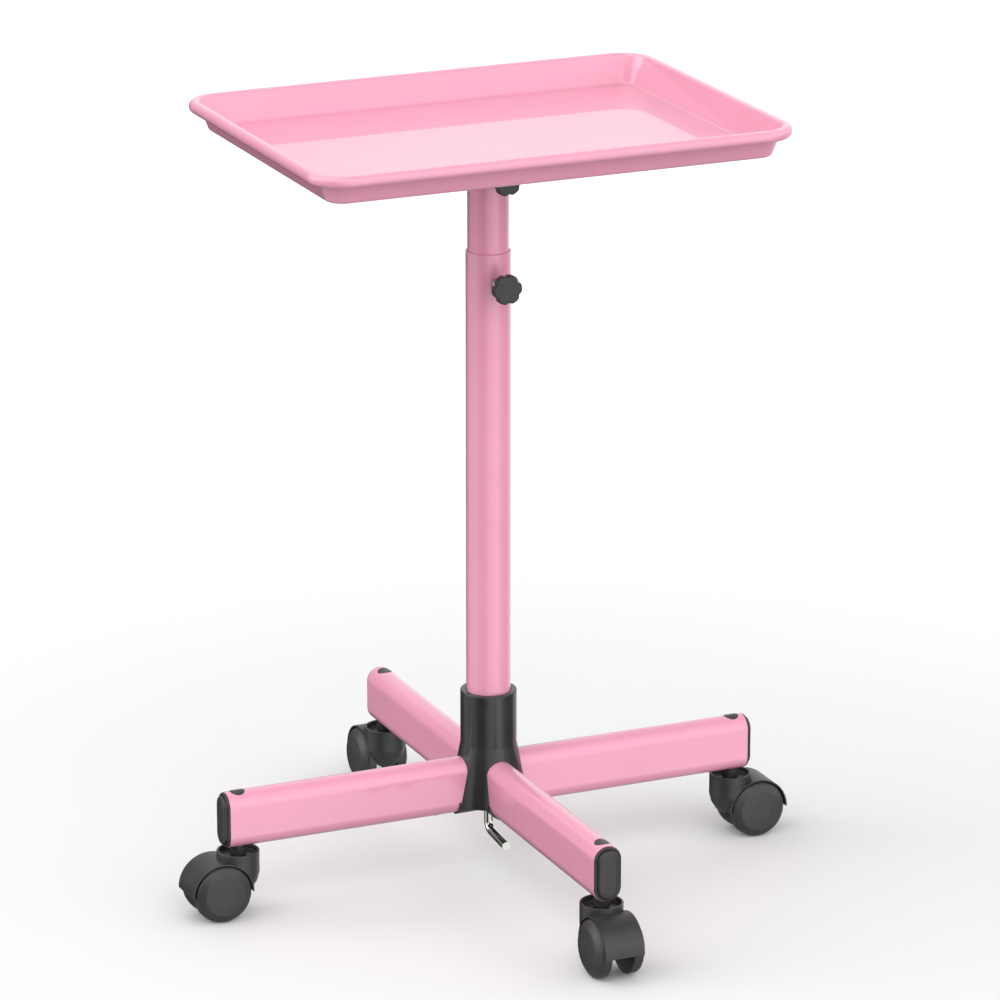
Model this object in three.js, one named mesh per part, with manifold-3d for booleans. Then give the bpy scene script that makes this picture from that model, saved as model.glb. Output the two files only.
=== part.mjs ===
// Rolling instrument cart: a pressed tray with a rolled rim on a telescoping round
// column, four flat-oval arms in a cross, and a hooded twin-wheel caster under each.
// Millimetres, +Z up. The origin is on the floor under the column; +X runs along the
// tray's long side and -Y is the side the clamp knobs face.
import * as THREE from "three";
import { mergeVertices } from "three/addons/utils/BufferGeometryUtils.js";
import Module from "manifold-3d";

const wasm = await Module();
wasm.setup();

// ---- Driving dimensions ------------------------------------------------------

const GAP = 0.3; // clearance between pieces that touch on the real cart

// Tray
const TRAY_LENGTH = 427.8; // over the rolled rim, along X
const TRAY_WIDTH = 317.8; // over the rolled rim, along Y
const RIM_THICK = 9.7; // the rolled rim's section
const RIM_TOP = 673;
const TRAY_BOTTOM = 646.9; // underside of the floor
const SHEET = 1.2;
const WALL_FOOT = 16.7; // outside of the wall's foot, in from the rim
const WALL_DRAFT = 7.7; // how far the wall leans out from floor to rim
const RIM_CORNER = 32; // corner radius over the rim

// Column
const LOWER_TUBE_R = 19;
const UPPER_TUBE_R = 17.5;
const TUBE_WALL = 1.2;
const LOWER_TUBE_TOP = 555.3;
const LOWER_TUBE_BOTTOM = 78;
const UPPER_TUBE_TOP = 642.3;
const UPPER_TUBE_BOTTOM = 150;

// Tray fixing
const STUB_R = 16;
const STUB_WALL = 1.5;
const STUB_BOTTOM = 605;
const BRACKET_LENGTH = 110;
const BRACKET_WIDTH = 84;
const BRACKET_THICK = 3;
const TRAY_STUD_X = 45;
const TRAY_STUD_Y = 32;
const TRAY_STUD_R = 2.5;

// Clamp knobs
const LOWER_KNOB_Z = 530.4;
const UPPER_KNOB_Z = 623.3;
const KNOB_FACE = 42; // front of the head, from the column's axis
const KNOB_HEAD = 7; // thickness of the lobed head
const KNOB_NECK = 5;
const KNOB_NECK_R = 6;
const KNOB_R = 12.1; // mean radius of the lobed outline
const KNOB_LOBE = 0.75; // how far a lobe rises above the mean
const KNOB_LOBES = 6;
const KNOB_EDGE = 1; // chamfer round the head
const KNOB_TURN = -5; // degrees; where the lobes stand when tight
const CLAMP_STUD_R = 3;
const WELD_NUT_R = 5.8;
const WELD_NUT_HEIGHT = 5;

// Hub
const HUB_TOP = 168;
const HUB_COLLAR_R = 24.2;
const HUB_BREAK = 122; // where the collar meets the flared skirt
const HUB_BOTTOM = 68.5;
const HUB_SKIRT_R = 33.8;
const HUB_LIP = 1.3; // thin lips round the arm roots, below the skirt
const HUB_LIP_REACH = 32.7;
const HUB_FLOOR = 75;
const SPIGOT_ROOT = 19.5; // a spigot inside each arm's root
const SPIGOT_END = 66;
const SPIGOT_WALL = 4;
const SOCKET_REACH = 90; // past the skirt, so that an arm's socket is open
const SCREW_PILOT_R = 2.4;

// Tie bolt under the hub
const BOLT_R = 4;
const BOLT_TOP = 94;
const BOLT_BEND_Z = 41;
const BOLT_BEND_R = 9;
const BOLT_LEG = 38; // how far the bent leg reaches from the column's axis
const BOLT_DROP = 4; // how much lower the leg's free end is
const BOLT_COLLAR_R = 8;
const WASHER_R = 11;
const WASHER_THICK = 2;

// Arms
const ARM_HEIGHT = 49;
const ARM_WIDTH = 25;
const ARM_WALL = 1.5;
const ARM_Z = 85.2; // centre of the section
const ARM_ROOT = 22.5;
const ARM_END = 241.7;
const CAP_INSET = 0.4;
const CAP_FLANGE = 1.7;
const CAP_PAD = 3.4;
const CAP_PAD_INSET = 3.1;
const CAP_PLUG = 24; // how far the cap reaches into the arm
const ARM_SCREW_X = 50;
const SCREW_R = 2;
const SCREW_HEAD_R = 4.2;
const SCREW_HEAD = 1.3;
const SCREW_SUNK = 0.15; // the head sits in a clearance hole, just inside the arm

// Casters
const STEM_X = 231; // stem axis, from the column's axis
const STEM_R = 5;
const STEM_FOOT = 29;
const STEM_TOP = 98;
const SOCKET_R = 6.4; // sleeve round the stem, through the arm
const SOCKET_COLLAR_R = 7.5;
const TRAIL = 19.5;
const WHEEL_R = 25;
const WHEEL_INNER = 10; // inner and outer faces, from the caster's mid-plane
const WHEEL_OUTER = 23.1;
const WHEEL_TREAD_EDGE = 16.6; // where the tread turns into the shoulder
const WHEEL_FACE_EDGE = 22.1; // where the shoulder turns into the face
const HOOD_R = 27.6;
const HOOD_WALL = 1.2;
const HOOD_HALF_WIDTH = 17.5;
const HOOD_Z = 24.4;
const HOOD_SHIFT = 0.3; // hood centre, past the axle
const WEB_HALF_WIDTH = 8.5;
const CUP_R = 18.2;
const CUP_TOP = 57;
const CUP_FLOOR = 52;
const CUP_WALL = 2;
const AXLE_R = 3;
const AXLE_HALF_LENGTH = 20;

// ---- Materials ---------------------------------------------------------------

const paint = (colour, roughness) =>
  new THREE.MeshStandardMaterial({ color: colour, roughness, metalness: 0 });
const metal = (colour, roughness) =>
  new THREE.MeshStandardMaterial({ color: colour, roughness, metalness: 1 });

const PINK_TRAY = paint(0xf7b3cb, 0.25);
const PINK_TUBE = paint(0xdc9db5, 0.35);
const PINK_ARM = paint(0xe99fba, 0.35);
const HUB_BLACK = paint(0x2c2e2e, 0.3);
const BLACK_PLASTIC = paint(0x363636, 0.5);
const WHEEL_BLACK = paint(0x3b3a39, 0.6);
const CHROME = metal(0xd8d8d6, 0.12);
const ZINC = metal(0xb9bcc0, 0.35);

// ---- Geometry helpers --------------------------------------------------------

const X = new THREE.Vector3(1, 0, 0);
const Y = new THREE.Vector3(0, 1, 0);
const Z = new THREE.Vector3(0, 0, 1);
const ROUND = 16; // facets round a small turned piece
const COLUMN_ROUND = 28;
const WHEEL_ROUND = 24;

/** A solid that can be cut and joined, from a closed geometry. */
function solid(geometry) {
  const bare = geometry.clone();
  bare.deleteAttribute("normal");
  bare.deleteAttribute("uv");
  const merged = mergeVertices(bare, 1e-4);
  return new wasm.Manifold(
    new wasm.Mesh({
      numProp: 3,
      vertProperties: merged.attributes.position.array,
      triVerts: new Uint32Array(merged.index.array),
    }),
  );
}

function geometryOf(body) {
  const mesh = body.getMesh();
  const geometry = new THREE.BufferGeometry();
  geometry.setAttribute("position", new THREE.BufferAttribute(mesh.vertProperties, 3));
  geometry.setIndex(new THREE.BufferAttribute(mesh.triVerts, 1));
  return geometry;
}

/** Turns a profile of [radius, height] points about Z; the outer side runs upwards. */
function turned(profile, facets = ROUND) {
  const points = profile.map(([radius, height]) => new THREE.Vector2(radius, height));
  return new THREE.LatheGeometry(points, facets).rotateX(Math.PI / 2);
}

/** A plain cylinder about Z between two heights. */
function rod(radius, from, to, facets = ROUND) {
  return turned([[0, from], [radius, from], [radius, to], [0, to]], facets);
}

function tube(radius, wall, from, to, facets = COLUMN_ROUND) {
  const inner = radius - wall;
  return turned([[inner, from], [radius, from], [radius, to], [inner, to], [inner, from]], facets);
}

/** Extrudes a shape drawn in (Y, Z) from one X to another. */
function alongX(shape, from, to, curveSegments = 3) {
  const options = { depth: to - from, bevelEnabled: false, curveSegments };
  const turn = new THREE.Matrix4().makeBasis(Y, Z, X);
  return new THREE.ExtrudeGeometry(shape, options).translate(0, 0, from).applyMatrix4(turn);
}

/** Extrudes a shape drawn in (X, Z) from one Y to another. */
function alongY(shape, from, to, curveSegments) {
  const options = { depth: to - from, bevelEnabled: false, curveSegments };
  const turn = new THREE.Matrix4().makeBasis(X, Z, Y.clone().negate());
  return new THREE.ExtrudeGeometry(shape, options).translate(0, 0, -to).applyMatrix4(turn);
}

/** The arm's flat-oval section, grown by `grow` on every side. */
function flatOval(grow = 0) {
  const radius = ARM_WIDTH / 2 + grow;
  const straight = (ARM_HEIGHT - ARM_WIDTH) / 2;
  const shape = new THREE.Shape();
  shape.absarc(0, ARM_Z + straight, radius, 0, Math.PI);
  shape.absarc(0, ARM_Z - straight, radius, Math.PI, 2 * Math.PI);
  return shape;
}

function roundedRectangle(length, width, corner) {
  const x = length / 2 - corner;
  const y = width / 2 - corner;
  const shape = new THREE.Shape();
  shape.absarc(x, y, corner, 0, Math.PI / 2);
  shape.absarc(-x, y, corner, Math.PI / 2, Math.PI);
  shape.absarc(-x, -y, corner, Math.PI, 1.5 * Math.PI);
  shape.absarc(x, -y, corner, 1.5 * Math.PI, 2 * Math.PI);
  return shape;
}

function hexagon(acrossCorners) {
  const shape = new THREE.Shape();
  for (let corner = 0; corner < 6; corner++) {
    const angle = (corner * Math.PI) / 3;
    const point = [acrossCorners * Math.cos(angle), acrossCorners * Math.sin(angle)];
    if (corner === 0) shape.moveTo(...point);
    else shape.lineTo(...point);
  }
  shape.closePath();
  return shape;
}

function prismZ(shape, from, to, curveSegments = 3) {
  const options = { depth: to - from, bevelEnabled: false, curveSegments };
  return new THREE.ExtrudeGeometry(shape, options).translate(0, 0, from);
}

/** Turns a geometry made about Z so that its +Z points along -Y. */
const facingFront = (geometry) => geometry.rotateX(Math.PI / 2);

/** Turns a geometry made about Z so that its +Z points along +Y. */
const facingSide = (geometry) => geometry.rotateX(-Math.PI / 2);

function named(name, geometry, material) {
  const mesh = new THREE.Mesh(geometry, material);
  mesh.name = name;
  return mesh;
}

const ARM_ANGLES = { right: 0, back: 90, left: 180, front: 270 };
const quarterTurns = Object.values(ARM_ANGLES).map(THREE.MathUtils.degToRad);

// ---- Hub and tie bolt --------------------------------------------------------

function hubGeometry() {
  const boreR = LOWER_TUBE_R + GAP;
  const shell = turned(
    [
      [0, HUB_BOTTOM + 1.5],
      [16, HUB_BOTTOM + 1.5],
      [17, HUB_BOTTOM],
      [HUB_SKIRT_R, HUB_BOTTOM],
      [HUB_COLLAR_R, HUB_BREAK],
      [HUB_COLLAR_R, HUB_TOP - 1.2],
      [HUB_COLLAR_R - 1, HUB_TOP],
      [0, HUB_TOP],
    ],
    COLUMN_ROUND,
  );
  let hub = solid(shell);
  for (const angle of quarterTurns) {
    const lip = alongX(flatOval(GAP + HUB_LIP), ARM_ROOT - 4, HUB_LIP_REACH).rotateZ(angle);
    const lipBelow = solid(lip).intersect(solid(rod(40, 50, HUB_BOTTOM + 4, COLUMN_ROUND)));
    hub = hub.add(lipBelow);
  }
  for (const angle of quarterTurns) {
    const socket = alongX(flatOval(GAP), ARM_ROOT - GAP, SOCKET_REACH).rotateZ(angle);
    hub = hub.subtract(solid(socket));
  }
  for (const angle of quarterTurns) {
    const outer = -ARM_WALL - GAP;
    const spigot = alongX(flatOval(outer), SPIGOT_ROOT, SPIGOT_END).rotateZ(angle);
    const inner = outer - SPIGOT_WALL;
    const pocket = alongX(flatOval(inner), ARM_ROOT + 4, SOCKET_REACH).rotateZ(angle);
    const pilot = rod(SCREW_PILOT_R, 55, 74, 12).translate(ARM_SCREW_X, 0, 0).rotateZ(angle);
    hub = hub.add(solid(spigot)).subtract(solid(pocket)).subtract(solid(pilot));
  }
  const bore = rod(boreR, HUB_FLOOR, HUB_TOP + 10, COLUMN_ROUND);
  const boltHole = rod(BOLT_R + 0.8, 60, HUB_FLOOR + 5);
  return geometryOf(hub.subtract(solid(bore)).subtract(solid(boltHole)));
}

/** Threaded plug fixed in the lower tube's foot, for the tie bolt. */
function footNutGeometry() {
  const radius = LOWER_TUBE_R - TUBE_WALL - GAP;
  return tube(radius, radius - BOLT_R - GAP, LOWER_TUBE_BOTTOM + 1, BOLT_TOP - 2, ROUND);
}

function tieWasherGeometry() {
  const top = HUB_BOTTOM + 1;
  return tube(WASHER_R, WASHER_R - BOLT_R - 0.5, top - WASHER_THICK, top, ROUND);
}

/** Round rod with a collar, bent to a handle that points to the front. */
function tieBoltGeometry() {
  const bend = new THREE.QuadraticBezierCurve3(
    new THREE.Vector3(0, 0, BOLT_BEND_Z + BOLT_BEND_R),
    new THREE.Vector3(0, 0, BOLT_BEND_Z),
    new THREE.Vector3(0, -BOLT_BEND_R, BOLT_BEND_Z - (BOLT_DROP * BOLT_BEND_R) / BOLT_LEG),
  );
  const path = new THREE.CurvePath();
  path.add(new THREE.LineCurve3(new THREE.Vector3(0, 0, BOLT_TOP), bend.v0));
  path.add(bend);
  const tip = new THREE.Vector3(0, -BOLT_LEG, BOLT_BEND_Z - BOLT_DROP);
  path.add(new THREE.LineCurve3(bend.v2, tip));
  const section = new THREE.Shape().absarc(0, 0, BOLT_R, 0, 2 * Math.PI);
  const bent = new THREE.ExtrudeGeometry(section, {
    steps: 16,
    curveSegments: 6,
    extrudePath: path,
  });
  const collar = rod(BOLT_COLLAR_R, HUB_BOTTOM - 4.3, HUB_BOTTOM - 1.3);
  return geometryOf(solid(bent).add(solid(collar)));
}

// ---- Column ------------------------------------------------------------------

/** A column tube with a hole through its front wall for a clamp stud. */
function columnTubeGeometry(radius, from, to, studZ) {
  const wall = solid(tube(radius, TUBE_WALL, from, to));
  const hole = facingFront(rod(CLAMP_STUD_R + 0.6, radius - 5, radius + 5, 12));
  return geometryOf(wall.subtract(solid(hole.translate(0, 0, studZ))));
}

/** Threaded boss welded over a clamp hole, outer face facing the front. */
function weldNutGeometry(tubeRadius, studZ) {
  const face = tubeRadius + WELD_NUT_HEIGHT;
  const boss = facingFront(prismZ(hexagon(WELD_NUT_R), tubeRadius - 2, face));
  const thread = facingFront(rod(CLAMP_STUD_R + GAP, 0, tubeRadius + 20, 16));
  const clear = solid(rod(tubeRadius + GAP, -20, 20, COLUMN_ROUND));
  return geometryOf(solid(boss).subtract(solid(thread)).subtract(clear)).translate(0, 0, studZ);
}

/** Threaded stud from the clamped tube's surface to inside the knob's head. */
function clampStudGeometry(clampedRadius, studZ) {
  const tip = clampedRadius + 2 * GAP;
  const end = KNOB_FACE - 2.5;
  const profile = [
    [0, tip],
    [CLAMP_STUD_R - 0.8, tip],
    [CLAMP_STUD_R, tip + 0.8],
    [CLAMP_STUD_R, end],
    [0, end],
  ];
  return facingFront(turned(profile, 16)).translate(0, 0, studZ);
}

/** Star knob: a lobed head with rounded edges on a short round neck. */
function knobGeometry(studZ) {
  const outline = new THREE.Shape();
  const steps = KNOB_LOBES * 5;
  for (let step = 0; step < steps; step++) {
    const angle = (step / steps) * 2 * Math.PI;
    const radius = KNOB_R - KNOB_EDGE + KNOB_LOBE * Math.cos(KNOB_LOBES * angle);
    const point = [radius * Math.cos(angle), radius * Math.sin(angle)];
    if (step === 0) outline.moveTo(...point);
    else outline.lineTo(...point);
  }
  outline.closePath();
  const back = KNOB_FACE - KNOB_HEAD;
  const head = new THREE.ExtrudeGeometry(outline, {
    depth: KNOB_HEAD - 2 * KNOB_EDGE,
    bevelThickness: KNOB_EDGE,
    bevelSize: KNOB_EDGE,
    bevelSegments: 1,
  }).translate(0, 0, back + KNOB_EDGE);
  const neck = rod(KNOB_NECK_R, back - KNOB_NECK, back + KNOB_EDGE);
  const bore = rod(CLAMP_STUD_R + GAP, 0, KNOB_FACE - 2, 16);
  const knob = facingFront(geometryOf(solid(head).add(solid(neck)).subtract(solid(bore))));
  return knob.rotateY(THREE.MathUtils.degToRad(KNOB_TURN)).translate(0, 0, studZ);
}

// ---- Tray --------------------------------------------------------------------

/** A rounded rectangle that widens by `spread` on every side from one height to another. */
function flaredBlock(length, width, corner, spread, from, to) {
  const block = new THREE.ExtrudeGeometry(roundedRectangle(length, width, corner), {
    depth: 5,
    bevelThickness: to - from,
    bevelSize: spread,
    bevelSegments: 1,
    curveSegments: 3,
  }).translate(0, 0, to);
  const below = prismZ(roundedRectangle(length + 100, width + 100, corner), from - 5, to);
  return solid(block).intersect(solid(below));
}

/** Pressed sheet tray: flat floor, leaning walls and a rolled rim. */
function trayGeometry() {
  const rimMid = RIM_TOP - RIM_THICK / 2;
  const wallLength = TRAY_LENGTH - 2 * WALL_FOOT;
  const wallWidth = TRAY_WIDTH - 2 * WALL_FOOT;
  const floorCorner = RIM_CORNER - WALL_FOOT;
  const outside = flaredBlock(wallLength, wallWidth, floorCorner, WALL_DRAFT, TRAY_BOTTOM, rimMid);
  const lean = WALL_DRAFT / (rimMid - TRAY_BOTTOM);
  const insideHeight = RIM_TOP + 1 - TRAY_BOTTOM - SHEET;
  const inside = flaredBlock(
    wallLength - 2 * SHEET,
    wallWidth - 2 * SHEET,
    floorCorner - SHEET,
    lean * insideHeight,
    TRAY_BOTTOM + SHEET,
    RIM_TOP + 1,
  );
  const edge = RIM_THICK / 2 - 1;
  const bead = new THREE.ExtrudeGeometry(
    roundedRectangle(TRAY_LENGTH - 2 * edge, TRAY_WIDTH - 2 * edge, RIM_CORNER - edge),
    { depth: 2, bevelThickness: edge, bevelSize: edge, bevelSegments: 2, curveSegments: 3 },
  ).translate(0, 0, rimMid - 1);
  return geometryOf(outside.add(solid(bead)).subtract(inside));
}

const BRACKET_TOP = TRAY_BOTTOM - 2 * GAP;
const BRACKET_BOTTOM = BRACKET_TOP - BRACKET_THICK;
const studPlaces = [
  [TRAY_STUD_X, TRAY_STUD_Y],
  [-TRAY_STUD_X, TRAY_STUD_Y],
  [-TRAY_STUD_X, -TRAY_STUD_Y],
  [TRAY_STUD_X, -TRAY_STUD_Y],
];

function trayBracketGeometry() {
  const outline = roundedRectangle(BRACKET_LENGTH, BRACKET_WIDTH, 8);
  let plate = solid(prismZ(outline, BRACKET_BOTTOM, BRACKET_TOP));
  for (const [x, y] of studPlaces) {
    const hole = rod(TRAY_STUD_R + GAP, BRACKET_BOTTOM - 5, BRACKET_TOP + 5, 12).translate(x, y, 0);
    plate = plate.subtract(solid(hole));
  }
  return geometryOf(plate);
}

function trayStudGeometry() {
  return rod(TRAY_STUD_R, BRACKET_BOTTOM - 6, TRAY_BOTTOM - GAP, 12);
}

function trayNutGeometry() {
  const nut = solid(prismZ(hexagon(4.6), BRACKET_BOTTOM - GAP - 4, BRACKET_BOTTOM - GAP));
  return geometryOf(nut.subtract(solid(rod(TRAY_STUD_R + GAP, 600, 660, 12))));
}

// ---- Arm, cap and caster socket, along +X --------------------------------------

function armGeometry() {
  const hole = rod(SOCKET_R + GAP, 40, 130).translate(STEM_X, 0, 0);
  const screwHole = rod(SCREW_HEAD_R + GAP, 40, ARM_Z, 16).translate(ARM_SCREW_X, 0, 0);
  const section = flatOval();
  section.holes.push(flatOval(-ARM_WALL));
  const walls = solid(alongX(section, ARM_ROOT, ARM_END));
  return geometryOf(walls.subtract(solid(hole)).subtract(solid(screwHole)));
}

/** End cap: a flange with a raised pad, and a hollow plug that straddles the socket. */
function endCapGeometry() {
  const flange = alongX(flatOval(-CAP_INSET), ARM_END + GAP, ARM_END + GAP + CAP_FLANGE);
  const pad = alongX(flatOval(-CAP_PAD_INSET), ARM_END + 1, ARM_END + CAP_FLANGE + CAP_PAD);
  const ring = flatOval(-ARM_WALL - GAP);
  ring.holes.push(flatOval(-ARM_WALL - GAP - 2));
  const plug = alongX(ring, ARM_END - CAP_PLUG, ARM_END + 1);
  const slot = rod(SOCKET_R + 1, 40, 130).translate(STEM_X, 0, 0);
  const cap = solid(plug).subtract(solid(slot)).add(solid(flange)).add(solid(pad));
  return geometryOf(cap);
}

/** Sleeve through the arm; its closed top shows as a plug and its foot is a collar. */
function casterSocketGeometry() {
  const bore = STEM_R + GAP;
  const sleeve = turned([
    [0, STEM_TOP + 3],
    [bore, STEM_TOP + 3],
    [bore, CUP_FLOOR + 1.5],
    [SOCKET_COLLAR_R, CUP_FLOOR + 1.5],
    [SOCKET_COLLAR_R, ARM_Z - ARM_HEIGHT / 2 - GAP],
    [SOCKET_R, ARM_Z - ARM_HEIGHT / 2 - GAP],
    [SOCKET_R, ARM_Z + ARM_HEIGHT / 2 + 2],
    [0, ARM_Z + ARM_HEIGHT / 2 + 2],
  ]);
  const radius = ARM_WIDTH / 2 + 0.4;
  const arch = new THREE.Shape();
  arch.absarc(0, ARM_Z + (ARM_HEIGHT - ARM_WIDTH) / 2, radius, 0, Math.PI);
  arch.lineTo(-radius, 0);
  arch.lineTo(radius, 0);
  arch.closePath();
  return geometryOf(solid(sleeve).intersect(solid(alongX(arch, -20, 20)))).translate(STEM_X, 0, 0);
}

function armScrewGeometry() {
  const underside = ARM_Z - ARM_HEIGHT / 2 + SCREW_SUNK + SCREW_HEAD;
  const profile = [
    [0, underside - SCREW_HEAD],
    [SCREW_HEAD_R, underside - SCREW_HEAD],
    [SCREW_HEAD_R, underside],
    [SCREW_R, underside],
    [SCREW_R, underside + 10],
    [0, underside + 11.5],
  ];
  return turned(profile, 12).translate(ARM_SCREW_X, 0, 0);
}

// ---- Caster, stem on the origin and trailing along +X ---------------------------

function casterStemGeometry() {
  const profile = [
    [0, STEM_FOOT],
    [STEM_R - 0.6, STEM_FOOT],
    [STEM_R, STEM_FOOT + 1],
    [STEM_R, STEM_TOP - 2],
    [STEM_R - 2, STEM_TOP],
    [0, STEM_TOP],
  ];
  return turned(profile, 16);
}

/** Swivelling hood: a cup round the stem, a web for the axle and a cover over the wheels. */
function casterHoodGeometry() {
  const cup = turned([
    [0, 22],
    [10.5, 22],
    [12.9, 24.9],
    [16.4, 30.6],
    [CUP_R, 38],
    [CUP_R, CUP_TOP - 0.7],
    [CUP_R - 0.7, CUP_TOP],
    [0, CUP_TOP],
  ]);
  const centreX = TRAIL + HOOD_SHIFT;
  const bonnet = new THREE.Shape().absarc(centreX, HOOD_Z, HOOD_R, 0, Math.PI);
  const cover = alongY(bonnet, -HOOD_HALF_WIDTH, HOOD_HALF_WIDTH, 8);
  const boss = facingSide(rod(7, -WEB_HALF_WIDTH, WEB_HALF_WIDTH)).translate(TRAIL, 0, WHEEL_R);
  let hood = solid(cup).add(solid(cover)).add(solid(boss));
  for (const side of [1, -1]) {
    const well = facingSide(rod(HOOD_R - HOOD_WALL, WEB_HALF_WIDTH, 40, WHEEL_ROUND));
    well.rotateZ(side > 0 ? 0 : Math.PI).translate(centreX, 0, HOOD_Z);
    hood = hood.subtract(solid(well));
  }
  const recess = rod(CUP_R - CUP_WALL, CUP_FLOOR, CUP_TOP + 5);
  const stemBore = rod(STEM_R + 0.4, STEM_FOOT - 1, CUP_TOP + 5, 16);
  const axleBore = facingSide(rod(AXLE_R + GAP, -30, 30, 16)).translate(TRAIL, 0, WHEEL_R);
  hood = hood.subtract(solid(recess)).subtract(solid(stemBore)).subtract(solid(axleBore));
  return geometryOf(hood);
}

function axleGeometry() {
  const axle = facingSide(rod(AXLE_R, -AXLE_HALF_LENGTH, AXLE_HALF_LENGTH, 16));
  return axle.translate(TRAIL, 0, WHEEL_R);
}

/**
 * Wheel on the caster's +Y side: blind bore, tread, rounded shoulder and domed face.
 * A facet's flat, not its edge, touches the floor.
 */
function wheelGeometry() {
  const bore = AXLE_R + GAP;
  const reach = WHEEL_R / Math.cos(Math.PI / WHEEL_ROUND);
  const profile = [
    [0, AXLE_HALF_LENGTH + 0.6],
    [bore, AXLE_HALF_LENGTH + 0.6],
    [bore, WHEEL_INNER],
    [reach - 1, WHEEL_INNER],
    [reach, WHEEL_INNER + 1],
    [reach, WHEEL_TREAD_EDGE],
    [reach - 1.5, (WHEEL_TREAD_EDGE + WHEEL_FACE_EDGE + 1) / 2],
    [reach - 6, WHEEL_FACE_EDGE],
    [0, WHEEL_OUTER],
  ];
  return facingSide(turned(profile, WHEEL_ROUND).rotateZ(Math.PI / WHEEL_ROUND));
}

function caster(side) {
  const group = new THREE.Group();
  group.position.x = STEM_X;
  group.add(named(`caster_stem_${side}`, casterStemGeometry(), ZINC));
  group.add(named(`caster_hood_${side}`, casterHoodGeometry(), BLACK_PLASTIC));
  group.add(named(`caster_axle_${side}`, axleGeometry(), ZINC));
  for (const [hand, turn] of [["a", 0], ["b", Math.PI]]) {
    const wheel = named(`wheel_${side}_${hand}`, wheelGeometry(), WHEEL_BLACK);
    wheel.position.set(TRAIL, 0, WHEEL_R);
    wheel.rotation.z = turn;
    group.add(wheel);
  }
  return group;
}

function wing(side, angle) {
  const group = new THREE.Group();
  group.rotation.z = THREE.MathUtils.degToRad(angle);
  group.add(named(`arm_${side}`, armGeometry(), PINK_ARM));
  group.add(named(`end_cap_${side}`, endCapGeometry(), BLACK_PLASTIC));
  group.add(named(`caster_socket_${side}`, casterSocketGeometry(), BLACK_PLASTIC));
  group.add(named(`arm_screw_${side}`, armScrewGeometry(), ZINC));
  group.add(caster(side));
  return group;
}

// ---- Assembly ----------------------------------------------------------------

const cart = new THREE.Group();

cart.add(named("hub", hubGeometry(), HUB_BLACK));
cart.add(named("foot_nut", footNutGeometry(), ZINC));
cart.add(named("tie_washer", tieWasherGeometry(), ZINC));
cart.add(named("tie_bolt", tieBoltGeometry(), CHROME));

for (const [side, angle] of Object.entries(ARM_ANGLES)) cart.add(wing(side, angle));

const lowerTube = columnTubeGeometry(LOWER_TUBE_R, LOWER_TUBE_BOTTOM, LOWER_TUBE_TOP, LOWER_KNOB_Z);
const upperTube = columnTubeGeometry(UPPER_TUBE_R, UPPER_TUBE_BOTTOM, UPPER_TUBE_TOP, UPPER_KNOB_Z);
cart.add(named("lower_tube", lowerTube, PINK_TUBE));
cart.add(named("upper_tube", upperTube, PINK_TUBE));

const clamps = [
  ["lower", LOWER_TUBE_R, UPPER_TUBE_R, LOWER_KNOB_Z],
  ["upper", UPPER_TUBE_R, STUB_R, UPPER_KNOB_Z],
];
for (const [level, tubeRadius, clampedRadius, height] of clamps) {
  cart.add(named(`${level}_weld_nut`, weldNutGeometry(tubeRadius, height), ZINC));
  cart.add(named(`${level}_clamp_stud`, clampStudGeometry(clampedRadius, height), ZINC));
  cart.add(named(`${level}_knob`, knobGeometry(height), BLACK_PLASTIC));
}

cart.add(named("tray", trayGeometry(), PINK_TRAY));
cart.add(named("tray_bracket", trayBracketGeometry(), PINK_TUBE));
const trayStub = tube(STUB_R, STUB_WALL, STUB_BOTTOM, BRACKET_BOTTOM - GAP);
cart.add(named("tray_stub", trayStub, PINK_TUBE));
studPlaces.forEach(([x, y], index) => {
  const stud = named(`tray_stud_${index + 1}`, trayStudGeometry(), ZINC);
  const nut = named(`tray_nut_${index + 1}`, trayNutGeometry(), ZINC);
  stud.position.set(x, y, 0);
  nut.position.set(x, y, 0);
  cart.add(stud, nut);
});

export default cart;
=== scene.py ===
# %% [markdown]
# # A rolling instrument cart
# A pressed steel tray stands on a telescoping column. Four flat-oval arms meet in a moulded
# hub, and a hooded twin-wheel caster swivels under the end of each arm. The exact solids
# come in as a fixed frame, so the places and main sizes below are read from them, and this
# lesson adds what they lack: rounded edges, rolled sheet, threads, paint and moulded
# plastic. All lengths are metres.

# %% Load the frame
import math

import bmesh
import bpy
from mathutils import Matrix, Vector


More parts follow.
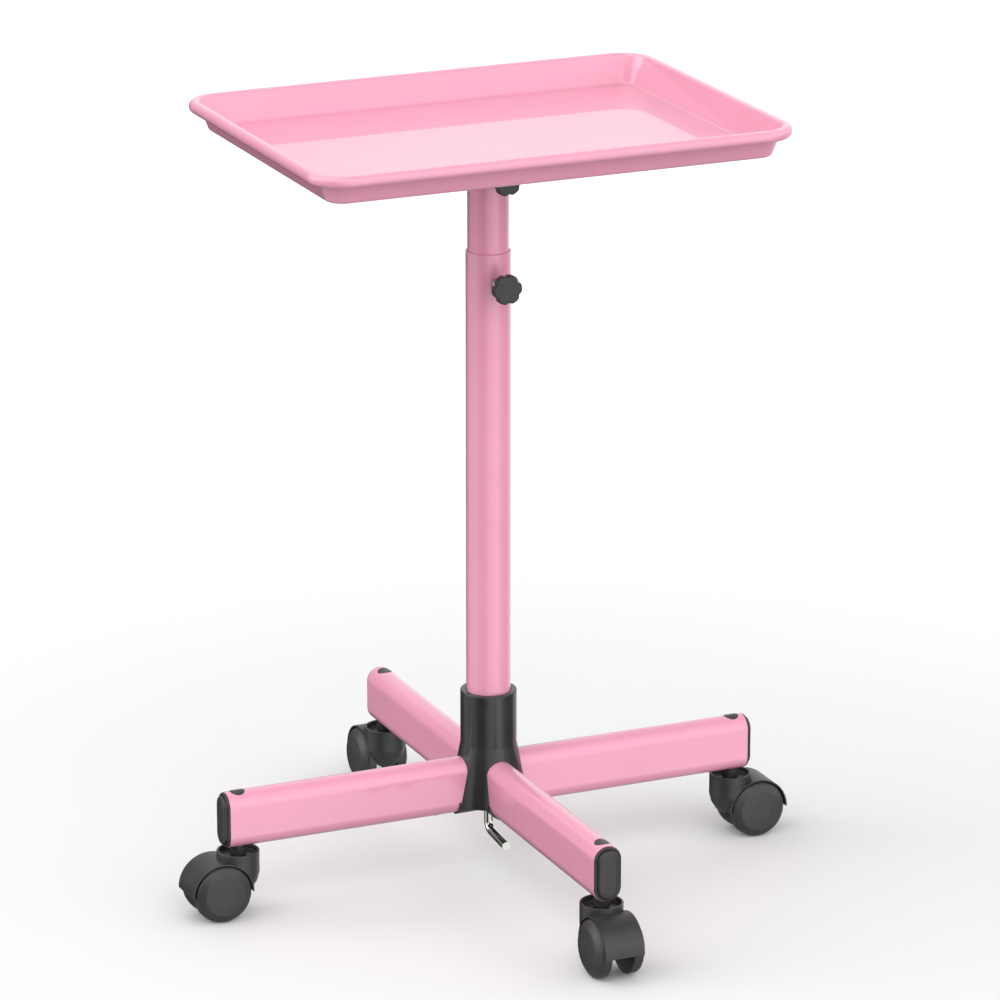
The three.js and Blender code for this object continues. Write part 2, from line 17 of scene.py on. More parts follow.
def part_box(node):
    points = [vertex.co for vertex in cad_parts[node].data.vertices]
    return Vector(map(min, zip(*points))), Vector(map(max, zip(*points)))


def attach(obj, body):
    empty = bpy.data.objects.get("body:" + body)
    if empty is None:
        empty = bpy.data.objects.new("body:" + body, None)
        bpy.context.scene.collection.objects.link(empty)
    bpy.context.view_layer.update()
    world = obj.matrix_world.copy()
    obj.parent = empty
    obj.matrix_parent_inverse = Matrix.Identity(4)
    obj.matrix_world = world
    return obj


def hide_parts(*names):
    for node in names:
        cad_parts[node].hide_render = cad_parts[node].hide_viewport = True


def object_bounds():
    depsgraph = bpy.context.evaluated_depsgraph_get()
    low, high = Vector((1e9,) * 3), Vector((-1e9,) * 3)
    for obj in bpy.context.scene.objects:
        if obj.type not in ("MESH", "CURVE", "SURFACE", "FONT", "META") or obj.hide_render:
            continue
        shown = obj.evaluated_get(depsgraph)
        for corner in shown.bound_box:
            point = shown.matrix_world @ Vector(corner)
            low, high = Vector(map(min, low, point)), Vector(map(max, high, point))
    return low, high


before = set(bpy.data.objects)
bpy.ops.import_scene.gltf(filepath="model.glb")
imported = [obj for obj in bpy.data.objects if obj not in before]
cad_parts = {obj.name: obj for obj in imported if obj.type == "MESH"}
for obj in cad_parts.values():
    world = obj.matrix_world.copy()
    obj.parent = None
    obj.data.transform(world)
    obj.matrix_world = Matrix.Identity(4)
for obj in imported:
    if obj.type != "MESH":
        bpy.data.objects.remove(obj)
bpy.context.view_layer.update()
print("solids in the frame:", len(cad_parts))

MM = 0.001
SIDES = {"right": 0, "back": 90, "left": 180, "front": 270}


def centre_of(node):
    """The middle of a solid's box."""
    low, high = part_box(node)
    return (low + high) / 2


def size_of(node):
    """The length of a solid's box along X, Y and Z."""
    low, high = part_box(node)
    return high - low


def linked(name, data):
    """A new object in the scene that holds some data."""
    holder = bpy.data.objects.new(name, data)
    bpy.context.scene.collection.objects.link(holder)
    return holder


# %% [markdown]
# ## Camera
# A long lens from well back keeps the column's sides parallel, as in a catalogue picture.
# The camera stands to the left of the knobs and looks a little down. It is placed by the
# angles and the distance from which it sees the cart, so that either is easy to change.

# %% Camera
CAMERA_TURN = math.radians(-23.84)
CAMERA_RISE = math.radians(17.64)
CAMERA_DISTANCE = 4.65
CAMERA_ASIDE = 9.8 * MM
LENS_MM = 198.25

cart_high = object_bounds()[1]
look_back = Vector(
    (
        math.sin(CAMERA_TURN) * math.cos(CAMERA_RISE),
        -math.cos(CAMERA_TURN) * math.cos(CAMERA_RISE),
        math.sin(CAMERA_RISE),
    )
)
look_right = Vector((math.cos(CAMERA_TURN), math.sin(CAMERA_TURN), 0))
aim = Vector((0, 0, cart_high.z / 2)) + look_right * CAMERA_ASIDE

camera = linked("camera", bpy.data.cameras.new("camera"))
camera.data.lens = LENS_MM
camera.data.sensor_width = 36
camera.data.clip_end = 100
camera.location = aim + look_back * CAMERA_DISTANCE
camera.rotation_mode = "QUATERNION"
camera.rotation_quaternion = (-look_back).to_track_quat("-Z", "Y")
bpy.context.scene.camera = camera
print("camera height:", round(camera.location.z, 3))

# %% [markdown]
# ## Node graphs as arithmetic
# A finish is mostly small sums: this noise times that mask, plus a base value. Wiring Math
# nodes by hand hides the sum, so a small class wraps an output socket and lets Python's own
# operators make the nodes. One method adds any other node.


# %% A wrapped socket and a graph
class Link:
    """An output socket that Python's arithmetic works on."""

    def __init__(self, graph, socket):
        self.graph = graph
        self.socket = socket

    def _math(self, operation, first, second=0.0):
        return self.graph.add("ShaderNodeMath", {"operation": operation}, {0: first, 1: second})

    def __add__(self, other):
        return self._math("ADD", self, other)

    def __sub__(self, other):
        return self._math("SUBTRACT", self, other)

    def __mul__(self, other):
        return self._math("MULTIPLY", self, other)

    def __truediv__(self, other):
        return self._math("DIVIDE", self, other)

    def __rsub__(self, other):
        return self._math("SUBTRACT", other, self)

    __radd__ = __add__
    __rmul__ = __mul__

    def step(self, low, high):
        """0 below low, 1 above high and a smooth slope between; low may be the larger."""
        bounds = {"From Min": low, "From Max": high}
        settings = {"interpolation_type": "SMOOTHSTEP"}
        return self.graph.add("ShaderNodeMapRange", settings, {"Value": self, **bounds})


class Graph:
    """Adds nodes to a tree."""

    def __init__(self, tree):
        self.tree = tree
        tree.nodes.clear()

    def add(self, kind, settings=None, sockets=None, output=0):
        """Adds a node: its settings first, then its sockets' values or links."""
        node = self.tree.nodes.new(kind)
        for name, value in (settings or {}).items():
            if name == "stops":
                self._set_stops(node.color_ramp, value)
            else:
                setattr(node, name, value)
        for key, value in (sockets or {}).items():
            socket = node.inputs[key]
            if isinstance(value, Link):
                self.tree.links.new(value.socket, socket)
            else:
                socket.default_value = value
        return Link(self, node.outputs[output]) if node.outputs else None

    @staticmethod
    def _set_stops(ramp, stops):
        while len(ramp.elements) < len(stops):
            ramp.elements.new(1.0)
        for element, (place, colour) in zip(ramp.elements, stops):
            element.position = place
            element.color = colour

    def noise(self, where, scale, detail=2.0, roughness=0.5):
        sockets = {"Vector": where, "Scale": scale, "Detail": detail, "Roughness": roughness}
        return self.add("ShaderNodeTexNoise", None, sockets)

    def mix(self, factor, first, second):
        """A colour between two others."""
        settings = {"data_type": "RGBA"}
        return self.add("ShaderNodeMix", settings, {0: factor, 6: first, 7: second}, 2)

    def scaled(self, where, factors):
        return self.add("ShaderNodeVectorMath", {"operation": "MULTIPLY"}, {0: where, 1: factors})


def linear(hex_colour):
    """An 0xRRGGBB screen colour as the linear colour that sockets hold."""
    channels = [((hex_colour >> shift) & 255) / 255 for shift in (16, 8, 0)]
    return [c / 12.92 if c <= 0.04045 else ((c + 0.055) / 1.055) ** 2.4 for c in channels] + [1.0]


def darker(colour, share):
    return [channel * share for channel in colour[:3]] + [1.0]


# %% [markdown]
# ## Room and light
# The cart stands in a white studio, lit all round by soft panels of different brightness.
# The panels are a sky painted by direction, which costs no noise: three rings, each a list
# of levels round the compass, and one level each for straight up and straight down. The
# floor is left out of the light that reaches the cart, as if it stood on glass, so the
# lowest ring lights its undersides and shows in its upright parts. A dark gap in the lower
# two rings draws the dark stripe down the hub and the column.

# %% Sky
# Degrees to the right of the camera, as seen from the cart, and the level there.
RING_BELOW = [(-180, 0.0), (-140, 0.05), (-124, 0.1), (-110, 0.65), (-52, 0.65)]
RING_BELOW += [(-46, 0.03), (-14, 0.03), (-6, 0.8), (20, 1.45), (50, 1.75)]
RING_BELOW += [(66, 0.5), (96, 0.1), (112, 0.2), (130, 0.9), (180, 1.1)]
RING_LOW = [(-180, 1.1), (-160, 0.5), (-140, 0.2), (-115, 0.3), (-95, 3.9), (-56, 2.3), (-46, 0.1)]
RING_LOW += [(-12, 0.1), (-4, 1.0), (45, 2.1), (90, 1.8), (135, 1.0), (160, 1.0), (180, 1.1)]
RING_HIGH = [(-180, 0.9), (-120, 1.3), (-60, 1.9), (0, 2.7), (60, 1.3), (120, 1.0), (180, 0.9)]
NADIR_LEVEL = 0.4
CAP_LEVEL = 0.2
RING_BRIGHTEST = 4.0
HIGH_RING_FROM = 0.47  # sines of the elevations where one ring gives way to the next
CAP_FROM = 0.87
NADIR_FROM = -0.57
RING_BLEND = 0.08  # half the span of sines over which they cross
CAP_BLEND = 0.06
HORIZON_BLEND = 0.02

world = bpy.data.worlds.new("studio")
bpy.context.scene.world = world
world.use_nodes = True
sky = Graph(world.node_tree)
direction = sky.add("ShaderNodeTexCoord")
axis_parts = sky.add("ShaderNodeSeparateXYZ", None, {0: direction})
east, north, up = [Link(sky, output) for output in axis_parts.socket.node.outputs]
flat_back = Vector((look_back.x, look_back.y, 0)).normalized()
toward_right = east * look_right.x + north * look_right.y
toward_camera = east * flat_back.x + north * flat_back.y
turn = sky.add("ShaderNodeMath", {"operation": "ARCTAN2"}, {0: toward_right, 1: toward_camera})
compass = turn * (0.5 / math.pi) + 0.5


def ring(levels):
    """The level round the compass, from a list of (degrees, level)."""
    stops = []
    for degrees, level in levels:
        grey = level / RING_BRIGHTEST
        stops.append((degrees / 360 + 0.5, (grey, grey, grey, 1.0)))
    ramp = sky.add("ShaderNodeValToRGB", {"stops": stops}, {"Fac": compass})
    return ramp * RING_BRIGHTEST


above = up.step(-HORIZON_BLEND, HORIZON_BLEND)
high_share = up.step(HIGH_RING_FROM - RING_BLEND, HIGH_RING_FROM + RING_BLEND)
cap_share = up.step(CAP_FROM - CAP_BLEND, CAP_FROM + CAP_BLEND)
nadir_share = up.step(NADIR_FROM + RING_BLEND, NADIR_FROM - RING_BLEND)
below_level = ring(RING_BELOW) * (1.0 - nadir_share) + nadir_share * NADIR_LEVEL
level = below_level * (1.0 - above) + ring(RING_LOW) * above * (1.0 - high_share)
level = level + ring(RING_HIGH) * high_share * (1.0 - cap_share) + cap_share * CAP_LEVEL
SKY_TINT = [1, 0.998, 0.99, 1]
background = sky.add("ShaderNodeBackground", None, {"Color": SKY_TINT, "Strength": level})
sky.add("ShaderNodeOutputWorld", None, {"Surface": background})

# %% Overhead light
LAMP_PLACE = Vector((-0.5, 0.1, 2.3))
LAMP_TARGET = Vector((0, 0, 0.2))
lamp = bpy.data.lights.new("overhead", "AREA")
lamp.shape = "RECTANGLE"
lamp.size = 1.0
lamp.size_y = 1.0
lamp.energy = 6
overhead = linked("overhead", lamp)
overhead.location = LAMP_PLACE
overhead.rotation_mode = "QUATERNION"
overhead.rotation_quaternion = (LAMP_TARGET - LAMP_PLACE).to_track_quat("-Z", "Y")

# %% [markdown]
# The floor is flat matt white paper with a painted glow: an emission that grows with its
# distance from the cart, so it grows a little brighter far off, standing in for a lit backdrop.

# %% Floor
FLOOR_HALF = 40
FLOOR_DROP = 0.2 * MM
FLOOR_TONE = [0.79, 0.805, 0.795, 1]
PAINTED_FLOOR_GLOW = 0.35
GLOW_FROM = 0.25
GLOW_TO = 2.6

floor_mesh = bpy.data.meshes.new("studio_floor")
floor_corners = [(-FLOOR_HALF, -FLOOR_HALF), (FLOOR_HALF, -FLOOR_HALF)]
floor_corners += [(FLOOR_HALF, FLOOR_HALF), (-FLOOR_HALF, FLOOR_HALF)]
floor_mesh.from_pydata([(x, y, -FLOOR_DROP) for x, y in floor_corners], [], [(0, 1, 2, 3)])
floor = linked("studio_floor", floor_mesh)
floor.visible_glossy = False
floor.visible_diffuse = False

floor_finish = bpy.data.materials.new("studio_floor")
floor_finish.use_nodes = True
paper = Graph(floor_finish.node_tree)
paper_where = paper.add("ShaderNodeTexCoord", None, None, 3)
paper_reach = paper.add("ShaderNodeVectorMath", {"operation": "LENGTH"}, {0: paper_where}, 1)
# painted glow: the floor's emission rises from nothing near the cart, standing in for light
glow = paper_reach.step(GLOW_FROM, GLOW_TO) * PAINTED_FLOOR_GLOW
paper_sockets = {
    "Base Color": FLOOR_TONE,
    "Roughness": 0.9,
    "Specular IOR Level": 0.0,
    "Emission Color": glow,
    "Emission Strength": 1.0,
}
paper_shader = paper.add("ShaderNodeBsdfPrincipled", None, paper_sockets)
paper.add("ShaderNodeOutputMaterial", None, {"Surface": paper_shader})
floor_mesh.materials.append(floor_finish)

bpy.context.scene.view_settings.view_transform = "Standard"
bpy.context.scene.view_settings.look = "None"

# %% [markdown]
# ## Finishes
# Powder coat is a thick, slightly rippled skin: a coloured base with a clear gloss on top,
# and a fine orange-peel ripple in both. The tray's coat is the glossiest, since it was
# baked on flat sheet. Moulded plastic has a fine spark-eroded grain, and the wheels' goes a
# little grey where it rubs. Paint and plastic read their patterns in object space, in
# metres, and bare metal reads its own along the piece's UV map.


# %% Powder coat
def new_finish(name):
    material = bpy.data.materials.new(name)
    material.use_nodes = True
    graph = Graph(material.node_tree)
    where = graph.add("ShaderNodeTexCoord", None, None, 3)
    return material, graph, where


def close_finish(graph, sockets):
    shader = graph.add("ShaderNodeBsdfPrincipled", None, sockets)
    graph.add("ShaderNodeOutputMaterial", None, {"Surface": shader})


def bumped(graph, height, depth, strength=1.0):
    """A normal that rises with height, at most depth metres."""
    sockets = {"Height": height, "Distance": depth, "Strength": strength}
    return graph.add("ShaderNodeBump", None, sockets)


def powder_coat(name, colour, roughness, peel, coat_roughness, metallic):
    """Coloured powder coat; peel is the depth of the orange-peel ripple."""
    material, graph, where = new_finish(name)
    cloud = graph.noise(where, 9.0, 3.0)
    fleck = graph.noise(where, 1900.0, 1.0)
    tone = cloud.step(0.3, 0.7) * 0.6 + fleck * 0.4
    base = graph.mix(tone, darker(colour, 0.955), darker(colour, 1.03))
    ripple = graph.noise(where, 420.0, 2.0, 0.45)
    wipe = graph.noise(graph.scaled(where, (22.0, 160.0, 60.0)), 1.0, 3.0)
    sockets = {
        "Base Color": base,
        "Roughness": wipe * 0.09 + (roughness - 0.045),
        "Normal": bumped(graph, ripple, peel),
        "Metallic": metallic,
        "Specular IOR Level": 0.25,
        "Coat Weight": 1.0,
        "Coat Roughness": coat_roughness,
        "Coat IOR": 1.5,
    }
    close_finish(graph, sockets)
    return material


PINK = linear(0xE69CB5)
tray_paint = powder_coat("tray_paint", PINK, 0.3, 0.012 * MM, 0.03, 0.03)
tube_paint = powder_coat("tube_paint", PINK, 0.36, 0.02 * MM, 0.05, 0.04)
arm_paint = powder_coat("arm_paint", PINK, 0.36, 0.02 * MM, 0.05, 0.03)


# %% Moulded plastic
def moulded(name, colour, roughness, grain, rub=0.0):
    """Black plastic: grain is the depth of its texture, rub how grey its worn parts go."""
    material, graph, where = new_finish(name)
    cloud = graph.noise(where, 45.0, 3.0)
    pits = graph.noise(where, 2600.0, 2.0, 0.6)
    wear = graph.add("ShaderNodeAttribute", {"attribute_name": "wear"}, None, 2)
    patchy = graph.noise(where, 260.0, 4.0, 0.65).step(0.42, 0.68)
    worn = wear * patchy * rub
    base = graph.mix(cloud.step(0.3, 0.7), darker(colour, 0.86), darker(colour, 1.12))
    base = graph.mix(worn, base, linear(0x8A8886))
    sockets = {
        "Base Color": base,
        "Roughness": cloud * 0.12 + worn * 0.25 + (roughness - 0.06),
        "Normal": bumped(graph, pits, grain),
    }
    close_finish(graph, sockets)
    return material


hub_plastic = moulded("hub_plastic", linear(0x2B2C2C), 0.2, 0.003 * MM)
black_plastic = moulded("black_plastic", linear(0x2E2E2F), 0.4, 0.01 * MM)
wheel_plastic = moulded("wheel_plastic", linear(0x303030), 0.45, 0.01 * MM, 0.05)


# %% Bare metal
def bare_metal(name, colour, roughness, grain):
    """Plated steel with faint lines left by drawing or turning, along the piece's own V."""
    material, graph, _ = new_finish(name)
    surface = graph.add("ShaderNodeTexCoord", None, None, 2)
    lines = graph.noise(graph.scaled(surface, (60.0, 4.0, 1.0)), 1.0, 3.0)
    spots = graph.noise(graph.scaled(surface, (9.0, 320.0, 1.0)), 1.0, 2.0)
    sockets = {
        "Base Color": graph.mix(spots.step(0.35, 0.65), darker(colour, 0.93), colour),
        "Metallic": 1.0,
        "Roughness": lines * 0.1 + (roughness - 0.05),
        "Normal": bumped(graph, lines, grain),
    }
    close_finish(graph, sockets)
    return material


chrome = bare_metal("chrome", linear(0xC8C8C6), 0.13, 0.002 * MM)
zinc = bare_metal("zinc", linear(0xB9BCC0), 0.32, 0.006 * MM)
print("finishes:", len(bpy.data.materials))

# %% [markdown]
# ## Rounded lines and lofted skins
# Real edges are never sharp, and the bright line along an edge is what makes a part look
# solid. So outlines are written as corners with a radius each, a helper turns the corners
# into arcs, and a second helper skins a row of such rings into one closed mesh. The skin
# also gets a UV map: U runs round the ring and V along the piece.


# %% Rounded outlines
def rounded(corners, closed=False, steps=6):
    """Points along a line through corners (a, b, radius), each rounded by an arc."""
    points = []
    count = len(corners)
    for index, (a, b, radius) in enumerate(corners):
        here = Vector((a, b))
        at_end = not closed and index in (0, count - 1)
        if at_end or radius <= 0:
            points.append(here)
            continue
        before = Vector(corners[index - 1][:2]) - here
        after = Vector(corners[(index + 1) % count][:2]) - here
        opening = before.angle(after)
        reach = radius / math.tan(opening / 2)
        middle = (before.normalized() + after.normalized()).normalized()
        centre = here + middle * (radius / math.sin(opening / 2))
        start = here + before.normalized() * reach - centre
        end = here + after.normalized() * reach - centre
        sweep = math.atan2(start.x * end.y - start.y * end.x, start.dot(end))
        for step in range(steps + 1):
            points.append(centre + Matrix.Rotation(sweep * step / steps, 2) @ start)
    return points


def arc(centre, radius, start, end, steps):
    """Points on a circle between two angles in degrees."""
    points = []
    for step in range(steps + 1):
        angle = math.radians(start + (end - start) * step / steps)
        offset = Vector((math.cos(angle), math.sin(angle))) * radius
        points.append(Vector(centre) + offset)
    return points


# %% Skins
def skin(name, rings, loop=False):
    """One closed mesh through rings of equally many points; a loop joins the last to the first."""
    build = bmesh.new()
    uv_layer = build.loops.layers.uv.new("UVMap")
    rows = [[build.verts.new(point) for point in ring] for ring in rings]
    travel = [0.0]
    for first, second in zip(rings, rings[1:]):
        travel.append(travel[-1] + (Vector(second[0]) - Vector(first[0])).length)
    travel.append(travel[-1])
    count = len(rings[0])
    for index in range(len(rings) if loop else len(rings) - 1):
        lower = rows[index]
        upper = rows[(index + 1) % len(rows)]
        for place in range(count):
            other = (place + 1) % count
            face = build.faces.new((lower[place], lower[other], upper[other], upper[place]))
            corners = ((place, index), (place + 1, index), (place + 1, index + 1), (place, index + 1))
            for corner, (around, along) in zip(face.loops, corners):
                corner[uv_layer].uv = (around / count, travel[along])
    if not loop:
        build.faces.new(rows[0][::-1])
        build.faces.new(rows[-1])
    bmesh.ops.remove_doubles(build, verts=build.verts, dist=1e-7)
    bmesh.ops.dissolve_degenerate(build, edges=build.edges, dist=1e-8)
    bmesh.ops.recalc_face_normals(build, faces=build.faces)
    mesh = bpy.data.meshes.new(name)
    build.to_mesh(mesh)
    build.free()
    return mesh


def circle(radius, height, count, x=0.0):
    """A level ring of points round the line that stands at x."""
    turns = [2 * math.pi * place / count for place in range(count)]
    return [(x + radius * math.cos(a), radius * math.sin(a), height) for a in turns]


def turned(name, profile, facets=64, loop=False):
    """Turns a profile of (radius, height) points about Z."""
    return skin(name, [circle(radius, height, facets) for radius, height in profile], loop)


def rectangle(half, inset, corner, height, steps):
    """A level rounded rectangle, drawn in by inset from its half sizes."""
    x = half.x - inset
    y = half.y - inset
    corners = [(x, y, corner), (-x, y, corner), (-x, -y, corner), (x, -y, corner)]
    return [(p.x, p.y, height) for p in rounded(corners, closed=True, steps=steps)]


def placed(mesh, matrix):
    """A copy of a mesh, moved."""
    copy = mesh.copy()
    copy.transform(matrix)
    return copy


def joined(name, meshes):
    """Several meshes as one."""
    build = bmesh.new()
    for mesh in meshes:
        build.from_mesh(mesh)
    result = bpy.data.meshes.new(name)
    build.to_mesh(result)
    build.free()
    return result


FRONT = Matrix.Rotation(math.radians(90), 4, "X")  # +Z to -Y
SIDEWAYS = Matrix.Rotation(math.radians(-90), 4, "X")  # +Z to +Y

# %% [markdown]
# A finished piece is smooth wherever two faces meet at less than about 35 degrees. Weighted
# normals keep its flat faces flat right up to their rounded edges, which a plain smooth
# mesh doesn't. Then the piece rides on its body and stands for its solids.


# %% Finishing a piece
def finish_piece(name, mesh, material, body, nodes):
    """Dresses a mesh, sets it riding on a body and lets it stand for some solids."""
    mesh.name = name
    mesh.materials.clear()
    mesh.materials.append(material)
    for face in mesh.polygons:
        face.use_smooth = True
        face.material_index = 0
    mesh.set_sharp_from_angle(angle=math.radians(35))
    piece = linked(name, mesh)
    weighted = piece.modifiers.new("flat faces stay flat", "WEIGHTED_NORMAL")
    weighted.keep_sharp = True
    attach(piece, body)
    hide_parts(*nodes)


def quarter(angle):
    return Matrix.Rotation(math.radians(angle), 4, "Z")


def finish_sides(name, mesh, material, slot, body, node):
    """One piece made for the right side, finished on every side; {} stands for the side."""
    for side, angle in SIDES.items():
        copy = placed(mesh, quarter(angle))
        nodes = [node.format(side)]
        finish_piece(name.format(side), copy, material, body.format(side), nodes)


def cut(name, base, cutters, operation="DIFFERENCE"):
    """Cuts meshes from a base mesh, or joins them to it, exactly."""
    holder = linked(name, base)
    tools = []
    for index, mesh in enumerate(cutters):
        tool = linked(f"{name}_tool_{index}", mesh)
        modifier = holder.modifiers.new("cut", "BOOLEAN")
        modifier.operation = operation
        modifier.solver = "EXACT"
        modifier.object = tool
        tools.append(tool)
    return evaluated(name, holder, tools)


def evaluated(name, holder, extra=()):
    """The mesh that an object's modifiers make; the object itself is removed."""
    bpy.context.view_layer.update()
    graph = bpy.context.evaluated_depsgraph_get()
    result = bpy.data.meshes.new_from_object(holder.evaluated_get(graph), depsgraph=graph)
    result.name = name
    for used in (holder, *extra):
        bpy.data.objects.remove(used)
    return result


def softened(name, mesh, width, segments=2, limit=40):
    """Rounds a mesh's edges that are sharper than limit degrees."""
    build = bmesh.new()
    build.from_mesh(mesh)
    bmesh.ops.remove_doubles(build, verts=build.verts, dist=0.01 * MM)
    bmesh.ops.dissolve_limit(
        build, angle_limit=math.radians(0.5), verts=build.verts, edges=build.edges
    )
    build.to_mesh(mesh)
    build.free()
    holder = linked(name, mesh)
    modifier = holder.modifiers.new("edges", "BEVEL")
    modifier.width = width
    modifier.segments = segments
    modifier.limit_method = "ANGLE"
    modifier.angle_limit = math.radians(limit)
    modifier.miter_outer = "MITER_ARC"
    modifier.use_clamp_overlap = True
    return evaluated(name, holder)


# %% [markdown]
# ## Tray
# The tray is one sheet of steel, pressed to a flat floor with leaning walls, and its edge
# is rolled outward into a bead. Its section is the same all the way round, so it is a
# stack of rounded rectangles: each ring is the rim's outline, drawn in by some inset, at
# some height. The floor meets the wall in a tight bend.

# %% Tray
tray_low, tray_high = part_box("tray")
TRAY_HALF = (tray_high - tray_low) / 2
RIM_CORNER = 32 * MM
BEAD = 9.7 * MM
SHEET = 1.2 * MM
WALL_FOOT = 16.7 * MM  # the outside of the wall's foot, in from the rim
WALL_HEAD = 10.7 * MM  # and of its top, under the bead
FLOOR_BEND = 3.4 * MM
FLAT_FROM = 60 * MM  # the innermost ring, well inside the flat floor
TIGHTEST_CORNER = 4 * MM

rim_top = tray_high.z
tray_floor = tray_low.z + SHEET
bead_under = rim_top - BEAD
tray_section = rounded(
    [
        (FLAT_FROM, tray_low.z, 0),
        (WALL_FOOT, tray_low.z, FLOOR_BEND + SHEET),
        (WALL_HEAD, bead_under + 0.9 * MM, 0.7 * MM),
        (7.6 * MM, bead_under, 1.2 * MM),
        (0.3 * MM, bead_under, 4.2 * MM),
        (0, rim_top, 4.6 * MM),
        (8.8 * MM, rim_top, 3.4 * MM),
        (WALL_FOOT + SHEET, tray_floor, FLOOR_BEND),
        (FLAT_FROM, tray_floor, 0),
    ],
    steps=7,
)
tray_rings = []
for point in tray_section:
    corner = max(RIM_CORNER - point.x, TIGHTEST_CORNER)
    tray_rings.append(rectangle(TRAY_HALF, point.x, corner, point.y, 14))
tray_mesh = skin("tray_sheet", tray_rings)
finish_piece("tray_sheet", tray_mesh, tray_paint, "tray", ["tray"])
print("tray faces:", len(tray_mesh.polygons))

# %% [markdown]
# ## Column
# The column is two round tubes, one sliding in the other, and a short stub under the tray
# that drops into the upper one. Their ends are cut square and lightly broken.

# %% Column tubes
TUBE_WALL = 1.2 * MM
STUB_WALL = 1.5 * MM
TUBE_EDGE = 0.4 * MM


def tube_mesh(name, node, wall):
    """A tube as tall and wide as a solid, with softly rounded ends."""
    low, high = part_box(node)
    outer = (high.x - low.x) / 2
    inner = outer - wall
    corners = [
        (outer, low.z, TUBE_EDGE),
        (outer, high.z, TUBE_EDGE),
        (inner, high.z, TUBE_EDGE),
        (inner, low.z, TUBE_EDGE),
    ]
    return turned(name, rounded(corners, closed=True, steps=3), 96, loop=True)


for piece_name, node, wall, body in (
    ("column_outer_tube", "lower_tube", TUBE_WALL, "base"),
    ("column_inner_tube", "upper_tube", TUBE_WALL, "column"),
    ("tray_stub_tube", "tray_stub", STUB_WALL, "tray"),
):
    mesh = tube_mesh(piece_name, node, wall)
    finish_piece(piece_name, mesh, tube_paint, body, [node])

# %% [markdown]
# ## Hub
# The hub is one glossy moulding: a collar round the column that flares into a skirt, with
# a flat-oval socket for each arm and a thin lip below it. The lips are joined to the turned
# shape and the sockets cut from it by exact booleans, and the edges are rounded last.

# %% Flat oval
arm_low, arm_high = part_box("arm_right")
ARM_HEIGHT = arm_high.z - arm_low.z
ARM_WIDTH = arm_high.y - arm_low.y
ARM_MIDDLE = (arm_high.z + arm_low.z) / 2
FIT = 0.3 * MM


def oval(grow, x, steps=18):
    """The arm's section in the plane at x, grown by grow on every side."""
    radius = ARM_WIDTH / 2 + grow
    rise = (ARM_HEIGHT - ARM_WIDTH) / 2
    upper = arc((0, ARM_MIDDLE + rise), radius, 0, 180, steps)
    lower = arc((0, ARM_MIDDLE - rise), radius, 180, 360, steps)
    return [(x, p.x, p.y) for p in upper + lower]


# %% Hub
hub_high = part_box("hub")[1]
COLLAR_R = 24.2 * MM
SKIRT_R = 33.8 * MM
SKIRT_TOP = 121 * MM
SKIRT_FOOT = 68.5 * MM
LIP = 1.3 * MM
LIP_REACH = 32.7 * MM
SEAT = SKIRT_FOOT + 1.5 * MM
column_radius = size_of("lower_tube").x / 2
BORE_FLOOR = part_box("lower_tube")[0].z - 3 * MM
BOLT_HOLE_R = 4.8 * MM

hub_section = rounded(
    [
        (BOLT_HOLE_R, SEAT, 0.4 * MM),
        (16 * MM, SEAT, 0.4 * MM),
        (17 * MM, SKIRT_FOOT, 0.4 * MM),
        (SKIRT_R, SKIRT_FOOT, 0.9 * MM),
        (COLLAR_R, SKIRT_TOP, 1 * MM),
        (COLLAR_R, hub_high.z, 1.2 * MM),
        (column_radius + FIT, hub_high.z, 0.5 * MM),
        (column_radius + FIT, BORE_FLOOR, 0),
        (BOLT_HOLE_R, BORE_FLOOR, 0.4 * MM),
    ],
    closed=True,
    steps=5,
)
hub_mesh = turned("hub_body", hub_section, 128, loop=True)
LIP_TOP = SKIRT_FOOT + 4 * MM
lip_outline = [p for p in oval(FIT + LIP, 0, 24) if p[2] < LIP_TOP]
lip_radius = ARM_WIDTH / 2 + FIT + LIP
lip_outline = [(0, -lip_radius, LIP_TOP), *lip_outline, (0, lip_radius, LIP_TOP)]
lip_rings = [[(x, y, z) for _, y, z in lip_outline] for x in (ARM_WIDTH / 2 + 2 * MM, LIP_REACH)]
lip_mesh = skin("lip", lip_rings)
lips = [placed(lip_mesh, quarter(angle)) for angle in SIDES.values()]
hub_mesh = cut("hub_body", hub_mesh, lips, "UNION")
socket_mesh = skin("socket", [oval(FIT, arm_low.x - FIT), oval(FIT, arm_low.x + 60 * MM)])
sockets = [placed(socket_mesh, quarter(angle)) for angle in SIDES.values()]
hub_mesh = cut("hub_body", hub_mesh, sockets)
hub_mesh = softened("hub_body", hub_mesh, 0.35 * MM, 2, 35)
finish_piece("hub_body", hub_mesh, hub_plastic, "base", ["hub"])
print("hub faces:", len(hub_mesh.polygons))

# %% [markdown]
# ## Arms and their end caps
# Each arm is a length of flat-oval tube. A moulded cap closes its end: a flange as wide as
# the tube, a shallow channel, and a raised pad with a soft crown. Both are lofts of the
# same oval, so the cap always fits the tube.

# %% Arms
ARM_WALL = 1.5 * MM
arm_length_points = rounded(
    [
        (arm_low.x, 0, 0.3 * MM),
        (arm_high.x, 0, 0.3 * MM),
        (arm_high.x, -ARM_WALL, 0.3 * MM),
        (arm_low.x, -ARM_WALL, 0.3 * MM),
    ],
    closed=True,
    steps=3,
)
arm_mesh = skin("arm", [oval(p.y, p.x, 24) for p in arm_length_points], loop=True)
finish_sides("arm_tube_{}", arm_mesh, arm_paint, "arm_paint", "base", "arm_{}")

